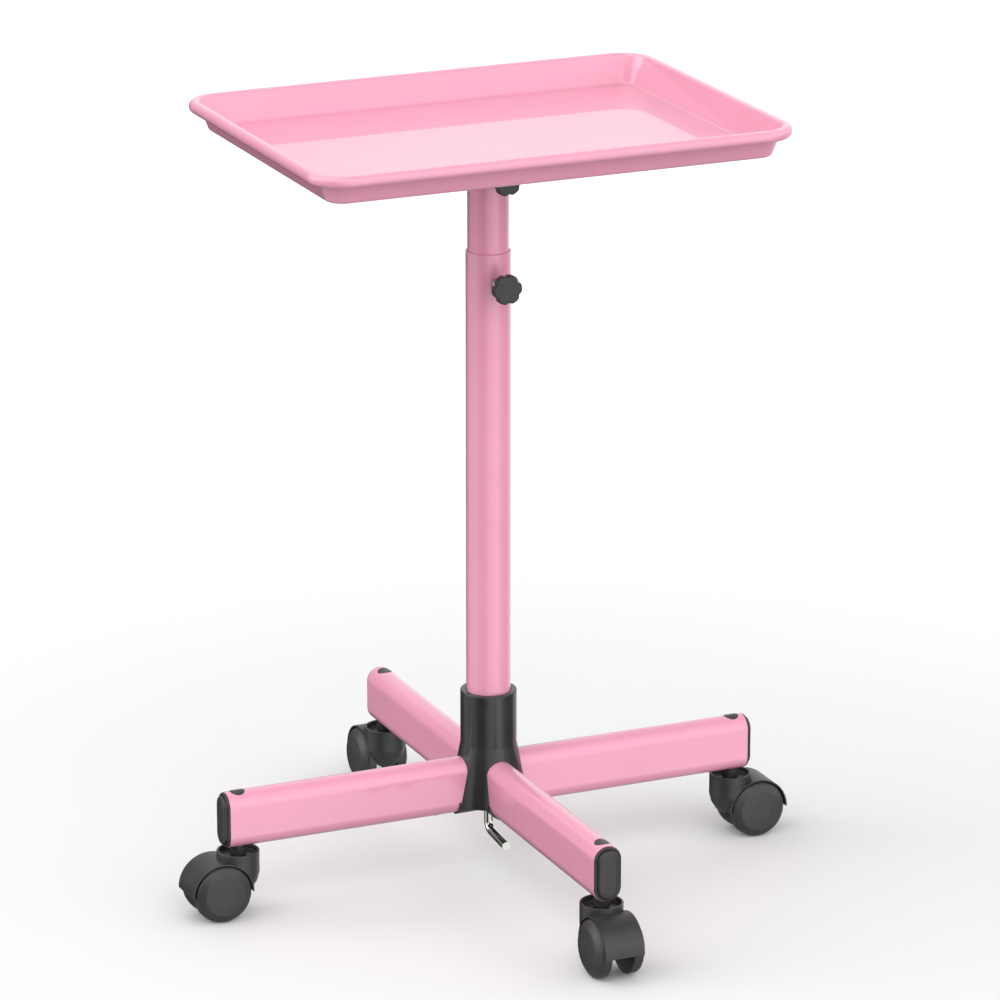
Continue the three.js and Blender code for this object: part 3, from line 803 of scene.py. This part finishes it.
# %% End caps
cap_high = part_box("end_cap_right")[1]
FLANGE = 1.7 * MM
PLUG_DEPTH = 12 * MM
CAP_GROOVE = 0.7 * MM
CAP_FACE = arm_high.x + FIT + FLANGE
cap_section = rounded(
    [
        (arm_high.x - PLUG_DEPTH, -ARM_WALL - 2 * MM, 0),
        (arm_high.x - PLUG_DEPTH, -ARM_WALL - FIT, 0.3 * MM),
        (arm_high.x + FIT, -ARM_WALL - FIT, 0),
        (arm_high.x + FIT, -0.5 * MM, 0.25 * MM),
        (CAP_FACE, -0.5 * MM, 0.9 * MM),
        (CAP_FACE, -2.2 * MM, 0.3 * MM),
        (CAP_FACE - CAP_GROOVE, -2.3 * MM, 0.15 * MM),
        (CAP_FACE - CAP_GROOVE, -2.95 * MM, 0.15 * MM),
        (cap_high.x - 0.6 * MM, -3.3 * MM, 1.5 * MM),
        (cap_high.x - 0.05 * MM, -7 * MM, 2 * MM),
        (cap_high.x, -10.5 * MM, 0),
    ],
    steps=5,
)
cap_mesh = skin("end_cap", [oval(p.y, p.x, 24) for p in cap_section])
finish_sides("arm_cap_{}", cap_mesh, black_plastic, "black_plastic", "base", "end_cap_{}")

# %% [markdown]
# ## Caster sockets, stems and screws
# A plastic sleeve runs through the end of each arm and holds the caster's stem. Its closed
# top shows as a small plug that follows the round of the arm, so the plug is a disc of
# rings dropped on to that curve. Its foot is a collar, and below it the plated stem goes
# down into the caster's cup.

# %% Sockets and stems
SOCKET_R = 6.4 * MM
COLLAR_OUT = 7.5 * MM
PLUG_POINTS = 40
stem_axis = centre_of("caster_stem_right").x
socket_low, socket_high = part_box("caster_socket_right")
crown_axis = arm_high.z - ARM_WIDTH / 2


def draped(radius, drop):
    """A ring of a disc that lies over the arm's round top, drop below its crown's surface."""
    crown = socket_high.z - crown_axis - drop
    ring = circle(radius, 0, PLUG_POINTS)
    return [(stem_axis + x, y, crown_axis + math.sqrt(crown**2 - y**2)) for x, y, _ in ring]


sleeve = [
    (5.4 * MM, socket_low.z),
    (COLLAR_OUT - 0.4 * MM, socket_low.z),
    (COLLAR_OUT, socket_low.z + 0.4 * MM),
    (COLLAR_OUT, arm_low.z - FIT),
    (SOCKET_R, arm_low.z - FIT),
    (SOCKET_R, arm_high.z - 8 * MM),
]
plug = [
    (SOCKET_R, 0.9 * MM),
    (SOCKET_R, 0.35 * MM),
    (SOCKET_R - 0.15 * MM, 0.12 * MM),
    (SOCKET_R - 0.4 * MM, 0),
    (SOCKET_R - 0.9 * MM, 0),
    (3.5 * MM, 0),
    (0.01 * MM, 0),
]
socket_rings = [circle(radius, height, PLUG_POINTS, stem_axis) for radius, height in sleeve]
socket_rings += [draped(radius, drop) for radius, drop in plug]
socket_mesh = skin("stem_socket", socket_rings)

stem_low, stem_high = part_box("caster_stem_right")
stem_radius = (stem_high.x - stem_low.x) / 2
RING_OUT = stem_radius + 0.9 * MM  # a ring round the stem, inside the cup
RING_FROM = 44 * MM
RING_TO = 46 * MM
stem_section = rounded(
    [
        (0, stem_low.z, 0),
        (stem_radius, stem_low.z, 0.8 * MM),
        (stem_radius, RING_FROM, 0),
        (RING_OUT, RING_FROM, 0.3 * MM),
        (RING_OUT, RING_TO, 0.3 * MM),
        (stem_radius, RING_TO, 0),
        (stem_radius, stem_high.z, 1.5 * MM),
        (0, stem_high.z, 0),
    ],
    steps=4,
)
stem_mesh = placed(turned("stem", stem_section, 40), Matrix.Translation((stem_axis, 0, 0)))
socket_look = (black_plastic, "black_plastic")
finish_sides("stem_socket_{}", socket_mesh, *socket_look, "base", "caster_socket_{}")
finish_sides("stem_pin_{}", stem_mesh, zinc, "zinc", "base", "caster_stem_{}")

# %% [markdown]
# ## Casters
# The caster's moulding is a cup round the stem that runs into a bonnet over both wheels,
# with a web between them that carries the axle. Three solid shapes are joined, a well for
# each wheel and the cup's bore are cut from them, and then every edge is broken.

# %% Caster mouldings
hood_low, hood_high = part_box("caster_hood_right")
axle = centre_of("caster_axle_right")
CUP_R = (hood_high.y - hood_low.y) / 2
CUP_FLOOR = 52 * MM
CUP_WALL = 2 * MM
BONNET_R = 27.6 * MM
BONNET_HALF = 17.5 * MM
BONNET_WALL = 1.2 * MM
WEB_HALF = 8.5 * MM
bonnet_x = hood_high.x - BONNET_R
bonnet_z = 24.4 * MM
BOSS_OUT = 7 * MM
STEM_SEAT = 28 * MM
stem_bore = stem_radius + 0.4 * MM
cup_bore = CUP_R - CUP_WALL

cup_section = rounded(
    [
        (0, 22 * MM, 0),
        (10.5 * MM, 22 * MM, 0),
        (12.9 * MM, 24.9 * MM, 0),
        (16.4 * MM, 30.6 * MM, 4 * MM),
        (CUP_R, 38 * MM, 4 * MM),
        (CUP_R, hood_high.z, 0.7 * MM),
        (cup_bore, hood_high.z, 0.7 * MM),
        (cup_bore, CUP_FLOOR, 0.8 * MM),
        (stem_bore, CUP_FLOOR, 0),
        (stem_bore, STEM_SEAT, 0),
        (0, STEM_SEAT, 0),
    ],
    steps=5,
)
cup_mesh = placed(turned("cup", cup_section, 72), Matrix.Translation((stem_axis, 0, 0)))


def disc_between(radius, centre_x, centre_z, from_y, to_y, start=0, end=360, steps=96):
    """A round or part-round block whose axis runs along Y."""
    outline = arc((centre_x, centre_z), radius, start, end, steps)
    if end - start >= 360:
        outline = outline[:-1]
    return skin("block", [[(p.x, y, p.y) for p in outline] for y in (from_y, to_y)])


bonnet = disc_between(BONNET_R, bonnet_x, bonnet_z, -BONNET_HALF, BONNET_HALF, 0, 180)
boss = disc_between(BOSS_OUT, axle.x, axle.z, -WEB_HALF, WEB_HALF)
above_floor = CUP_FLOOR + 1 * MM
past_top = 70 * MM
bore_section = [(0, STEM_SEAT), (stem_bore, STEM_SEAT), (stem_bore, above_floor)]
bore_section += [(cup_bore, above_floor), (cup_bore, past_top), (0, past_top)]
bore = turned("bore", bore_section, 72)
bore.transform(Matrix.Translation((stem_axis, 0, 0)))
wells = []
for from_y, to_y in ((WEB_HALF, 40 * MM), (-40 * MM, -WEB_HALF)):
    wells.append(disc_between(BONNET_R - BONNET_WALL, bonnet_x, bonnet_z, from_y, to_y))
hood_mesh = cut("caster_hood", cup_mesh, [bonnet, boss], "UNION")
hood_mesh = cut("caster_hood", hood_mesh, [*wells, bore])
hood_mesh = softened("caster_hood", hood_mesh, 0.4 * MM, 2, 38)
hood_look = (black_plastic, "black_plastic")
finish_sides("caster_shell_{}", hood_mesh, *hood_look, "caster_{}", "caster_hood_{}")
print("caster shell faces:", len(hood_mesh.polygons))

# %% [markdown]
# A wheel is one hard plastic moulding: a plain tread, a rounded shoulder and a slightly
# domed face. The tread and shoulder carry a wear mask, worked out from how far each point
# is from the axle, so that they alone go grey.

# %% Wheels
wheel_low, wheel_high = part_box("wheel_right_a")
WHEEL_R = 25 * MM
TREAD_EDGE = 14.5 * MM
FACE_R = 18 * MM
SHOULDER = 3.4 * MM
PIN_SEAT_R = 3.3 * MM
WEAR_FROM = 22 * MM
WEAR_SPREAD = 2.5 * MM
inner_face = wheel_low.y
outer_face = wheel_high.y
wheel_section = rounded(
    [
        (PIN_SEAT_R, inner_face, 0),
        (WHEEL_R, inner_face, 0.9 * MM),
        (WHEEL_R, TREAD_EDGE + SHOULDER, 5.4 * MM),
        (FACE_R, outer_face - 0.9 * MM, 4.5 * MM),
        (10 * MM, outer_face - 0.15 * MM, 8 * MM),
        (0, outer_face, 0),
    ],
    steps=8,
)
pin_seat = outer_face - 2 * MM
wheel_section = [Vector((0, pin_seat)), Vector((PIN_SEAT_R, pin_seat))] + wheel_section
wheel_mesh = turned("wheel", wheel_section, 96)
wheel_mesh.transform(SIDEWAYS)


def mark_wear(mesh, amount):
    """Stores how worn each point is, from 0 to 1, where amount is a function of the point."""
    layer = mesh.attributes.new("wear", "FLOAT", "POINT")
    layer.data.foreach_set("value", [amount(vertex.co) for vertex in mesh.vertices])


def tread_wear(point):
    reach = math.hypot(point.x, point.z)
    return min(1.0, max(0.0, (reach - WEAR_FROM) / WEAR_SPREAD))


mark_wear(wheel_mesh, tread_wear)
for side, angle in SIDES.items():
    for hand, flip in (("a", 0), ("b", 180)):
        place = quarter(angle) @ Matrix.Translation((axle.x, 0, axle.z)) @ quarter(flip)
        mesh = placed(wheel_mesh, place)
        name = f"caster_wheel_{side}_{hand}"
        body = f"wheel_{side}_{hand}"
        finish_piece(name, mesh, wheel_plastic, body, [body])

# %% Axles
axle_low, axle_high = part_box("caster_axle_right")
axle_radius = (axle_high.z - axle_low.z) / 2
axle_half = (axle_high.y - axle_low.y) / 2
axle_section = rounded(
    [
        (0, -axle_half, 0),
        (axle_radius, -axle_half, 0.5 * MM),
        (axle_radius, axle_half, 0.5 * MM),
        (0, axle_half, 0),
    ],
    steps=3,
)
axle_mesh = placed(turned("axle", axle_section, 40), Matrix.Translation(axle) @ SIDEWAYS)
finish_sides("caster_pin_{}", axle_mesh, zinc, "zinc", "caster_{}", "caster_axle_{}")

# %% [markdown]
# ## Parts that repeat
# Threads, fasteners and the bumps of a weld are one small shape many times over, or one
# section along a path. Geometry Nodes suit both: a tree with named inputs is built once and
# run with different sizes. Instances are realised and the result is kept as a plain mesh,
# because a finished piece has to be a mesh that rides on one body.


# %% Running a geometry tree
def recipe(name, inputs):
    """An empty geometry tree with a geometry input and named number inputs."""
    tree = bpy.data.node_groups.new(name, "GeometryNodeTree")
    tree.interface.new_socket("Geometry", in_out="INPUT", socket_type="NodeSocketGeometry")
    tree.interface.new_socket("Geometry", in_out="OUTPUT", socket_type="NodeSocketGeometry")
    for label in inputs:
        tree.interface.new_socket(label, in_out="INPUT", socket_type="NodeSocketFloat")
    graph = Graph(tree)
    group = tree.nodes.new("NodeGroupInput")
    given = {socket.name: Link(graph, socket) for socket in group.outputs if socket.name}
    return graph, given


def close_recipe(graph, geometry, material):
    real = graph.add("GeometryNodeRealizeInstances", None, {"Geometry": geometry})
    dressed = graph.add("GeometryNodeSetMaterial", None, {"Geometry": real, "Material": material})
    graph.add("NodeGroupOutput", None, {"Geometry": dressed})
    return graph.tree


def run_recipe(tree, sizes, base=None):
    """Runs a geometry tree on a base mesh and gives the plain mesh it makes."""
    holder = linked("recipe", base or bpy.data.meshes.new("recipe"))
    modifier = holder.modifiers.new("recipe", "NODES")
    modifier.node_group = tree
    for socket in tree.interface.items_tree:
        if socket.in_out == "INPUT" and socket.name in sizes:
            modifier[socket.identifier] = sizes[socket.name]
    return evaluated(tree.name, holder)


# %% Threaded rod
def thread_recipe():
    """A core rod along +Z from the origin, with a ridge wound round it."""
    graph, given = recipe("threaded_rod", ["Radius", "Depth", "Pitch", "Length"])
    core_radius = given["Radius"] - given["Depth"]
    core_sockets = {"Vertices": 32, "Radius": core_radius, "Depth": given["Length"]}
    core = graph.add("GeometryNodeMeshCylinder", None, core_sockets)
    rise = graph.add("ShaderNodeCombineXYZ", None, {"Z": given["Length"] / 2})
    core = graph.add("GeometryNodeTransform", None, {"Geometry": core, "Translation": rise})
    wound = given["Length"] - given["Pitch"]
    winding = {
        "Resolution": 24,
        "Rotations": wound / given["Pitch"],
        "Start Radius": core_radius,
        "End Radius": core_radius,
        "Height": wound,
    }
    helix = graph.add("GeometryNodeCurveSpiral", None, winding)
    start = graph.add("ShaderNodeCombineXYZ", None, {"Z": given["Pitch"] / 2})
    helix = graph.add("GeometryNodeTransform", None, {"Geometry": helix, "Translation": start})
    ridge_sockets = {"Resolution": 4, "Radius": given["Depth"]}
    ridge = graph.add("GeometryNodeCurvePrimitiveCircle", None, ridge_sockets)
    sweep = {"Curve": helix, "Profile Curve": ridge, "Fill Caps": True}
    wrapped = graph.add("GeometryNodeCurveToMesh", None, sweep)
    both = graph.add("GeometryNodeJoinGeometry")
    for part in (core, wrapped):
        graph.tree.links.new(part.socket, both.socket.node.inputs[0])
    return close_recipe(graph, both, zinc)


thread_tree = thread_recipe()
THREAD_DEPTH = 0.42  # of the pitch


def threaded_rod(radius, length, pitch, start):
    """A threaded rod along +Z that begins at start."""
    sizes = {"Radius": radius, "Depth": pitch * THREAD_DEPTH, "Pitch": pitch, "Length": length}
    mesh = run_recipe(thread_tree, sizes)
    mesh.transform(Matrix.Translation((0, 0, start)))
    return mesh


# %% [markdown]
# ## Clamps
# A threaded boss is welded over a hole in each tube. A stud with a star knob on its head
# screws through it and presses on the tube inside. The knob's outline is a circle with six
# narrow shallow valleys, so its rings are worked out from one formula, and its edges are
# rounded for the hand.

# %% Clamp knobs, studs and bosses
KNOB_LOBES = 6
KNOB_TURN = 5
KNOB_R = 12.85 * MM
KNOB_VALLEY = 1.5 * MM
VALLEY_SPREAD = 10  # degrees from a valley's middle to where it has nearly gone
KNOB_FACE = 42 * MM
NECK_END = 30 * MM
NECK_R = 6 * MM
KNOB_BACK = NECK_END + 5 * MM
KNOB_POINTS = 144
VALLEYS_FROM = 6.2 * MM  # no valleys this near the axis
VALLEYS_GROW = 4 * MM
BOSS_RISE = 5 * MM
BOSS_R = 5.8 * MM
STUD_R = 3 * MM


def knob_ring(radius, height, share):
    """A lobed ring; share is how much of the valleys' depth it has."""
    ring = []
    for place in range(KNOB_POINTS):
        angle = 360 * place / KNOB_POINTS
        off_valley = (angle + 180 / KNOB_LOBES) % (360 / KNOB_LOBES) - 180 / KNOB_LOBES
        dip = KNOB_VALLEY * math.exp(-((off_valley / VALLEY_SPREAD) ** 2))
        reach = radius - dip * share
        turn = math.radians(angle + KNOB_TURN + 180 / KNOB_LOBES)
        ring.append((reach * math.cos(turn), reach * math.sin(turn), height))
    return ring


def knob_mesh():
    """The knob with its face towards +Z."""
    bore = STUD_R + 0.3 * MM
    section = rounded(
        [
            (0, KNOB_FACE - 2 * MM, 0),
            (bore, KNOB_FACE - 2 * MM, 0),
            (bore, NECK_END, 0),
            (NECK_R, NECK_END, 0.4 * MM),
            (NECK_R, KNOB_BACK, 0.6 * MM),
            (KNOB_R, KNOB_BACK, 1.1 * MM),
            (KNOB_R, KNOB_FACE, 1.6 * MM),
            (NECK_R, KNOB_FACE, 0),
            (0, KNOB_FACE, 0),
        ],
        steps=6,
    )
    rings = []
    for point in section:
        share = min(1.0, max(0.0, (point.x - VALLEYS_FROM) / VALLEYS_GROW))
        rings.append(knob_ring(point.x, point.y, share))
    return skin("knob", rings)


def hexagon_ring(radius, height, round_off=0.5 * MM):
    corners = []
    for corner in range(6):
        angle = math.radians(60 * corner)
        corners.append((radius * math.cos(angle), radius * math.sin(angle), round_off))
    return [(p.x, p.y, height) for p in rounded(corners, closed=True, steps=4)]


def boss_mesh(tube_radius):
    """A hexagonal boss on a tube's front, its face towards +Z and its back on the tube."""
    face = tube_radius + BOSS_RISE
    inner = STUD_R + 0.25 * MM
    seat = [(x, y, math.sqrt(tube_radius**2 - x**2)) for x, y, _ in hexagon_ring(BOSS_R, 0)]
    rings = [
        [(x * 0.6, y * 0.6, z) for x, y, z in seat],
        seat,
        hexagon_ring(BOSS_R, face - 0.9 * MM),
        hexagon_ring(BOSS_R - 0.15 * MM, face - 0.4 * MM),
        hexagon_ring(BOSS_R - 0.6 * MM, face),
    ]
    turns = [math.atan2(y, x) for x, y, _ in seat]
    bore = ((inner + 0.3 * MM, face), (inner, face - 0.4 * MM), (inner, face - 3 * MM))
    for radius, height in bore:
        rings.append([(radius * math.cos(a), radius * math.sin(a), height) for a in turns])
    return skin("boss", rings)


knob_shape = knob_mesh()
for level, body, tube in (("lower", "base", "lower_tube"), ("upper", "column", "upper_tube")):
    height = centre_of(f"{level}_knob").z
    place = Matrix.Translation((0, 0, centre_of(f"{level}_clamp_stud").z)) @ FRONT
    knob = placed(knob_shape, place)
    nodes = [f"{level}_knob"]
    finish_piece(f"star_knob_{level}", knob, black_plastic, f"{level}_knob", nodes)
    boss = placed(boss_mesh(size_of(tube).x / 2), place)
    finish_piece(f"clamp_boss_{level}", boss, zinc, body, [f"{level}_weld_nut"])
    stud_low, stud_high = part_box(f"{level}_clamp_stud")
    stud = threaded_rod(STUD_R, stud_high.y - stud_low.y, 1 * MM, -stud_high.y)
    stud = placed(stud, place)
    nodes = [f"{level}_clamp_stud"]
    finish_piece(f"clamp_screw_{level}", stud, zinc, f"{level}_stud", nodes)

# %% [markdown]
# ## Tray fixing
# A plate with the stub welded to it is bolted under the tray. The four studs and nuts are
# one nut and one short thread, repeated at the corners of a grid. The weld is a ring of
# small overlapping bumps.

# %% Bracket plate
plate_low, plate_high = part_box("tray_bracket")
PLATE_HALF = (plate_high - plate_low) / 2
PLATE_CORNER = 8 * MM
plate_section = rounded(
    [
        (6 * MM, plate_low.z, 0),
        (0, plate_low.z, 0.5 * MM),
        (0, plate_high.z, 0.5 * MM),
        (6 * MM, plate_high.z, 0),
    ],
    steps=3,
)
plate_rings = [rectangle(PLATE_HALF, p.x, PLATE_CORNER - p.x, p.y, 8) for p in plate_section]
plate_mesh = skin("bracket_plate", plate_rings)


# %% Weld ring
def weld_recipe():
    """Overlapping bumps on a circle."""
    graph, given = recipe("weld_ring", ["Radius", "Bead"])
    circle_sockets = {"Vertices": 44, "Radius": given["Radius"]}
    circle = graph.add("GeometryNodeMeshCircle", None, circle_sockets)
    bump_sockets = {"Segments": 12, "Rings": 8, "Radius": given["Bead"]}
    bump = graph.add("GeometryNodeMeshUVSphere", None, bump_sockets)
    spread = {"Points": circle, "Instance": bump}
    bumps = graph.add("GeometryNodeInstanceOnPoints", None, spread)
    return close_recipe(graph, bumps, tube_paint)


stub_radius = size_of("tray_stub").x / 2
weld_sizes = {"Radius": stub_radius + 0.6 * MM, "Bead": 2.1 * MM}
weld_mesh = run_recipe(weld_recipe(), weld_sizes)
weld_mesh.transform(Matrix.Translation((0, 0, plate_low.z)))
bracket_mesh = joined("bracket", [plate_mesh, weld_mesh])
finish_piece("tray_plate", bracket_mesh, tube_paint, "tray", ["tray_bracket"])


# %% Nuts on a grid
def nut_mesh(radius, height, bore):
    """A hexagon nut from z 0 down, chamfered at its lower face."""
    section = [
        (bore, 0, 0.1 * MM),
        (radius - 0.3 * MM, 0, 0.3 * MM),
        (radius, -0.2 * MM, 0.3 * MM),
        (radius, -(height - 0.6 * MM), 0.3 * MM),
        (radius - 0.6 * MM, -height, 0.8 * MM),
        (bore, -height, 0.1 * MM),
    ]
    rings = [hexagon_ring(*ring) for ring in section]
    return skin("nut", rings)


def grid_recipe(part):
    """A part repeated at the four corners of a rectangle."""
    graph, given = recipe("corner_fasteners", ["Length", "Width"])
    grid_sockets = {"Size X": given["Length"], "Size Y": given["Width"]}
    grid_sockets.update({"Vertices X": 2, "Vertices Y": 2})
    grid = graph.add("GeometryNodeMeshGrid", None, grid_sockets)
    source = graph.add("GeometryNodeObjectInfo", None, {"Object": part}, 4)
    spread = graph.add("GeometryNodeInstanceOnPoints", None, {"Points": grid, "Instance": source})
    return close_recipe(graph, spread, zinc)


tray_stud_low, tray_stud_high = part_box("tray_stud_1")
tray_stud_radius = (tray_stud_high.x - tray_stud_low.x) / 2
nut_low, nut_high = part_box("tray_nut_1")
stud_mesh = threaded_rod(
    tray_stud_radius, tray_stud_high.z - tray_stud_low.z, 0.8 * MM, tray_stud_low.z
)
one_nut = nut_mesh((nut_high.x - nut_low.x) / 2, nut_high.z - nut_low.z, tray_stud_radius)
one_nut.transform(Matrix.Translation((0, 0, nut_high.z)))
fastener = linked("fastener", joined("fastener", [stud_mesh, one_nut]))
spacing = centre_of("tray_stud_1")
fastener_sizes = {"Length": 2 * abs(spacing.x), "Width": 2 * abs(spacing.y)}
fasteners_mesh = run_recipe(grid_recipe(fastener), fastener_sizes)
bpy.data.objects.remove(fastener)
fastener_nodes = [f"tray_{kind}_{index}" for kind in ("stud", "nut") for index in range(1, 5)]
finish_piece("tray_fasteners", fasteners_mesh, zinc, "tray", fastener_nodes)
print("fastener faces:", len(fasteners_mesh.polygons))

# %% [markdown]
# ## Under the hub
# A chromed rod with a bent handle screws up into the foot of the column and draws it down
# into the hub. The rod is a circle swept along a bent line, so it is a Geometry Nodes
# sweep: a bare line with one corner goes in, the tree rounds the corner and sweeps the
# section, and a girth stored on the line's points breaks the free end's edge.


# %% Bent rod
def bent_rod_recipe():
    """A round rod along the edges of the mesh that comes in."""
    graph, given = recipe("bent_rod", ["Radius", "Bend"])
    line = graph.add("GeometryNodeMeshToCurve", None, {"Mesh": given["Geometry"]})
    girth = graph.add("GeometryNodeInputNamedAttribute", {"data_type": "FLOAT"}, {"Name": "girth"})
    line = graph.add("GeometryNodeSetCurveRadius", None, {"Curve": line, "Radius": girth})
    corner = {"Curve": line, "Radius": given["Bend"], "Count": 14, "Limit Radius": True}
    line = graph.add("GeometryNodeFilletCurve", {"mode": "POLY"}, corner)
    ring = {"Resolution": 40, "Radius": given["Radius"]}
    section = graph.add("GeometryNodeCurvePrimitiveCircle", None, ring)
    sweep = {"Curve": line, "Profile Curve": section, "Fill Caps": True}
    rod = graph.add("GeometryNodeCurveToMesh", None, sweep)
    return close_recipe(graph, rod, chrome)


BOLT_R = 4 * MM
BOLT_TOP = 94 * MM
BEND_Z = 41 * MM
BEND_R = 9 * MM
HANDLE = 38 * MM
HANDLE_DROP = 4 * MM
corner_point = Vector((0, 0, BEND_Z))
tip = Vector((0, -HANDLE, BEND_Z - HANDLE_DROP))
handle_way = (tip - corner_point).normalized()
stations = [
    (Vector((0, 0, BOLT_TOP)), 1.0),
    (corner_point, 1.0),
    (tip - handle_way * 0.7 * MM, 1.0),
    (tip - handle_way * 0.25 * MM, 0.95),
    (tip, 0.82),
]
line_mesh = bpy.data.meshes.new("rod_line")
line_edges = [(index, index + 1) for index in range(len(stations) - 1)]
line_mesh.from_pydata([point for point, _ in stations], line_edges, [])
girths = line_mesh.attributes.new("girth", "FLOAT", "POINT")
girths.data.foreach_set("value", [girth for _, girth in stations])
rod_mesh = run_recipe(bent_rod_recipe(), {"Radius": BOLT_R, "Bend": BEND_R}, line_mesh)

washer_low, washer_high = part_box("tie_washer")
washer_radius = (washer_high.x - washer_low.x) / 2
collar_top = washer_low.z - FIT
collar_foot = collar_top - 3 * MM
collar_bore = BOLT_R * 0.8
TIE_COLLAR_R = 8 * MM
collar_section = rounded(
    [
        (collar_bore, collar_foot, 0),
        (TIE_COLLAR_R, collar_foot, 0.5 * MM),
        (TIE_COLLAR_R, collar_top, 0.5 * MM),
        (collar_bore, collar_top, 0),
    ],
    closed=True,
    steps=4,
)
collar_mesh = turned("collar", collar_section, 64, loop=True)
bolt_mesh = joined("tie_rod", [rod_mesh, collar_mesh])
finish_piece("tie_rod", bolt_mesh, chrome, "tie_bolt", ["tie_bolt"])


def ring_section(inner, outer, low, high, edge):
    """The rounded section of a flat ring or a short tube."""
    corners = [(inner, low, edge), (outer, low, edge), (outer, high, edge), (inner, high, edge)]
    return rounded(corners, closed=True, steps=3)


washer_section = ring_section(
    BOLT_R + 0.5 * MM, washer_radius, washer_low.z, washer_high.z, 0.3 * MM
)
washer_mesh = turned("washer", washer_section, 64, loop=True)
finish_piece("tie_rod_washer", washer_mesh, zinc, "tie_washer", ["tie_washer"])

foot_low, foot_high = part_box("foot_nut")
foot_radius = (foot_high.x - foot_low.x) / 2
foot_section = ring_section(BOLT_R + 0.3 * MM, foot_radius, foot_low.z, foot_high.z, 0.4 * MM)
foot_mesh = turned("foot", foot_section, 64, loop=True)
finish_piece("column_foot_nut", foot_mesh, zinc, "base", ["foot_nut"])


# %% Arm screws
def ring_recipe(part):
    """A part repeated at quarter turns round the column, each copy facing the same way."""
    graph, given = recipe("quarter_screws", ["Radius"])
    circle = graph.add("GeometryNodeMeshCircle", None, {"Vertices": 4, "Radius": given["Radius"]})
    source = graph.add("GeometryNodeObjectInfo", None, {"Object": part}, 4)
    spread = {"Points": circle, "Instance": source}
    return close_recipe(graph, graph.add("GeometryNodeInstanceOnPoints", None, spread), zinc)


screw_low, screw_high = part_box("arm_screw_right")
screw_head = (screw_high.y - screw_low.y) / 2
SCREW_HEAD_RISE = 1.3 * MM
SHANK_R = 2 * MM
head_top = screw_low.z + SCREW_HEAD_RISE
screw_section = rounded(
    [
        (0, screw_low.z, 0),
        (screw_head - 0.1 * MM, screw_low.z + 0.05 * MM, 0.35 * MM),
        (screw_head, head_top, 0.2 * MM),
        (SHANK_R, head_top, 0),
        (SHANK_R, screw_high.z - 2 * MM, 0),
        (0, screw_high.z, 0),
    ],
    steps=4,
)
screw_mesh = turned("screw", screw_section, 48)
slot_half = 0.55 * MM
slot_reach = 2.5 * MM
slots = []
for x, y in ((slot_half, slot_reach), (slot_reach, slot_half)):
    outline = [(-x, -y), (x, -y), (x, y), (-x, y)]
    taper = [[(a, b, screw_low.z - 1 * MM) for a, b in outline]]
    taper.append([(a * 0.6, b * 0.6, screw_low.z + 1 * MM) for a, b in outline])
    slots.append(skin("slot", taper))
screw_mesh = cut("screw", screw_mesh, slots)
screw = linked("screw", screw_mesh)
screws_mesh = run_recipe(ring_recipe(screw), {"Radius": centre_of("arm_screw_right").x})
bpy.data.objects.remove(screw)
screw_nodes = [f"arm_screw_{side}" for side in SIDES]
finish_piece("arm_screws", screws_mesh, zinc, "base", screw_nodes)
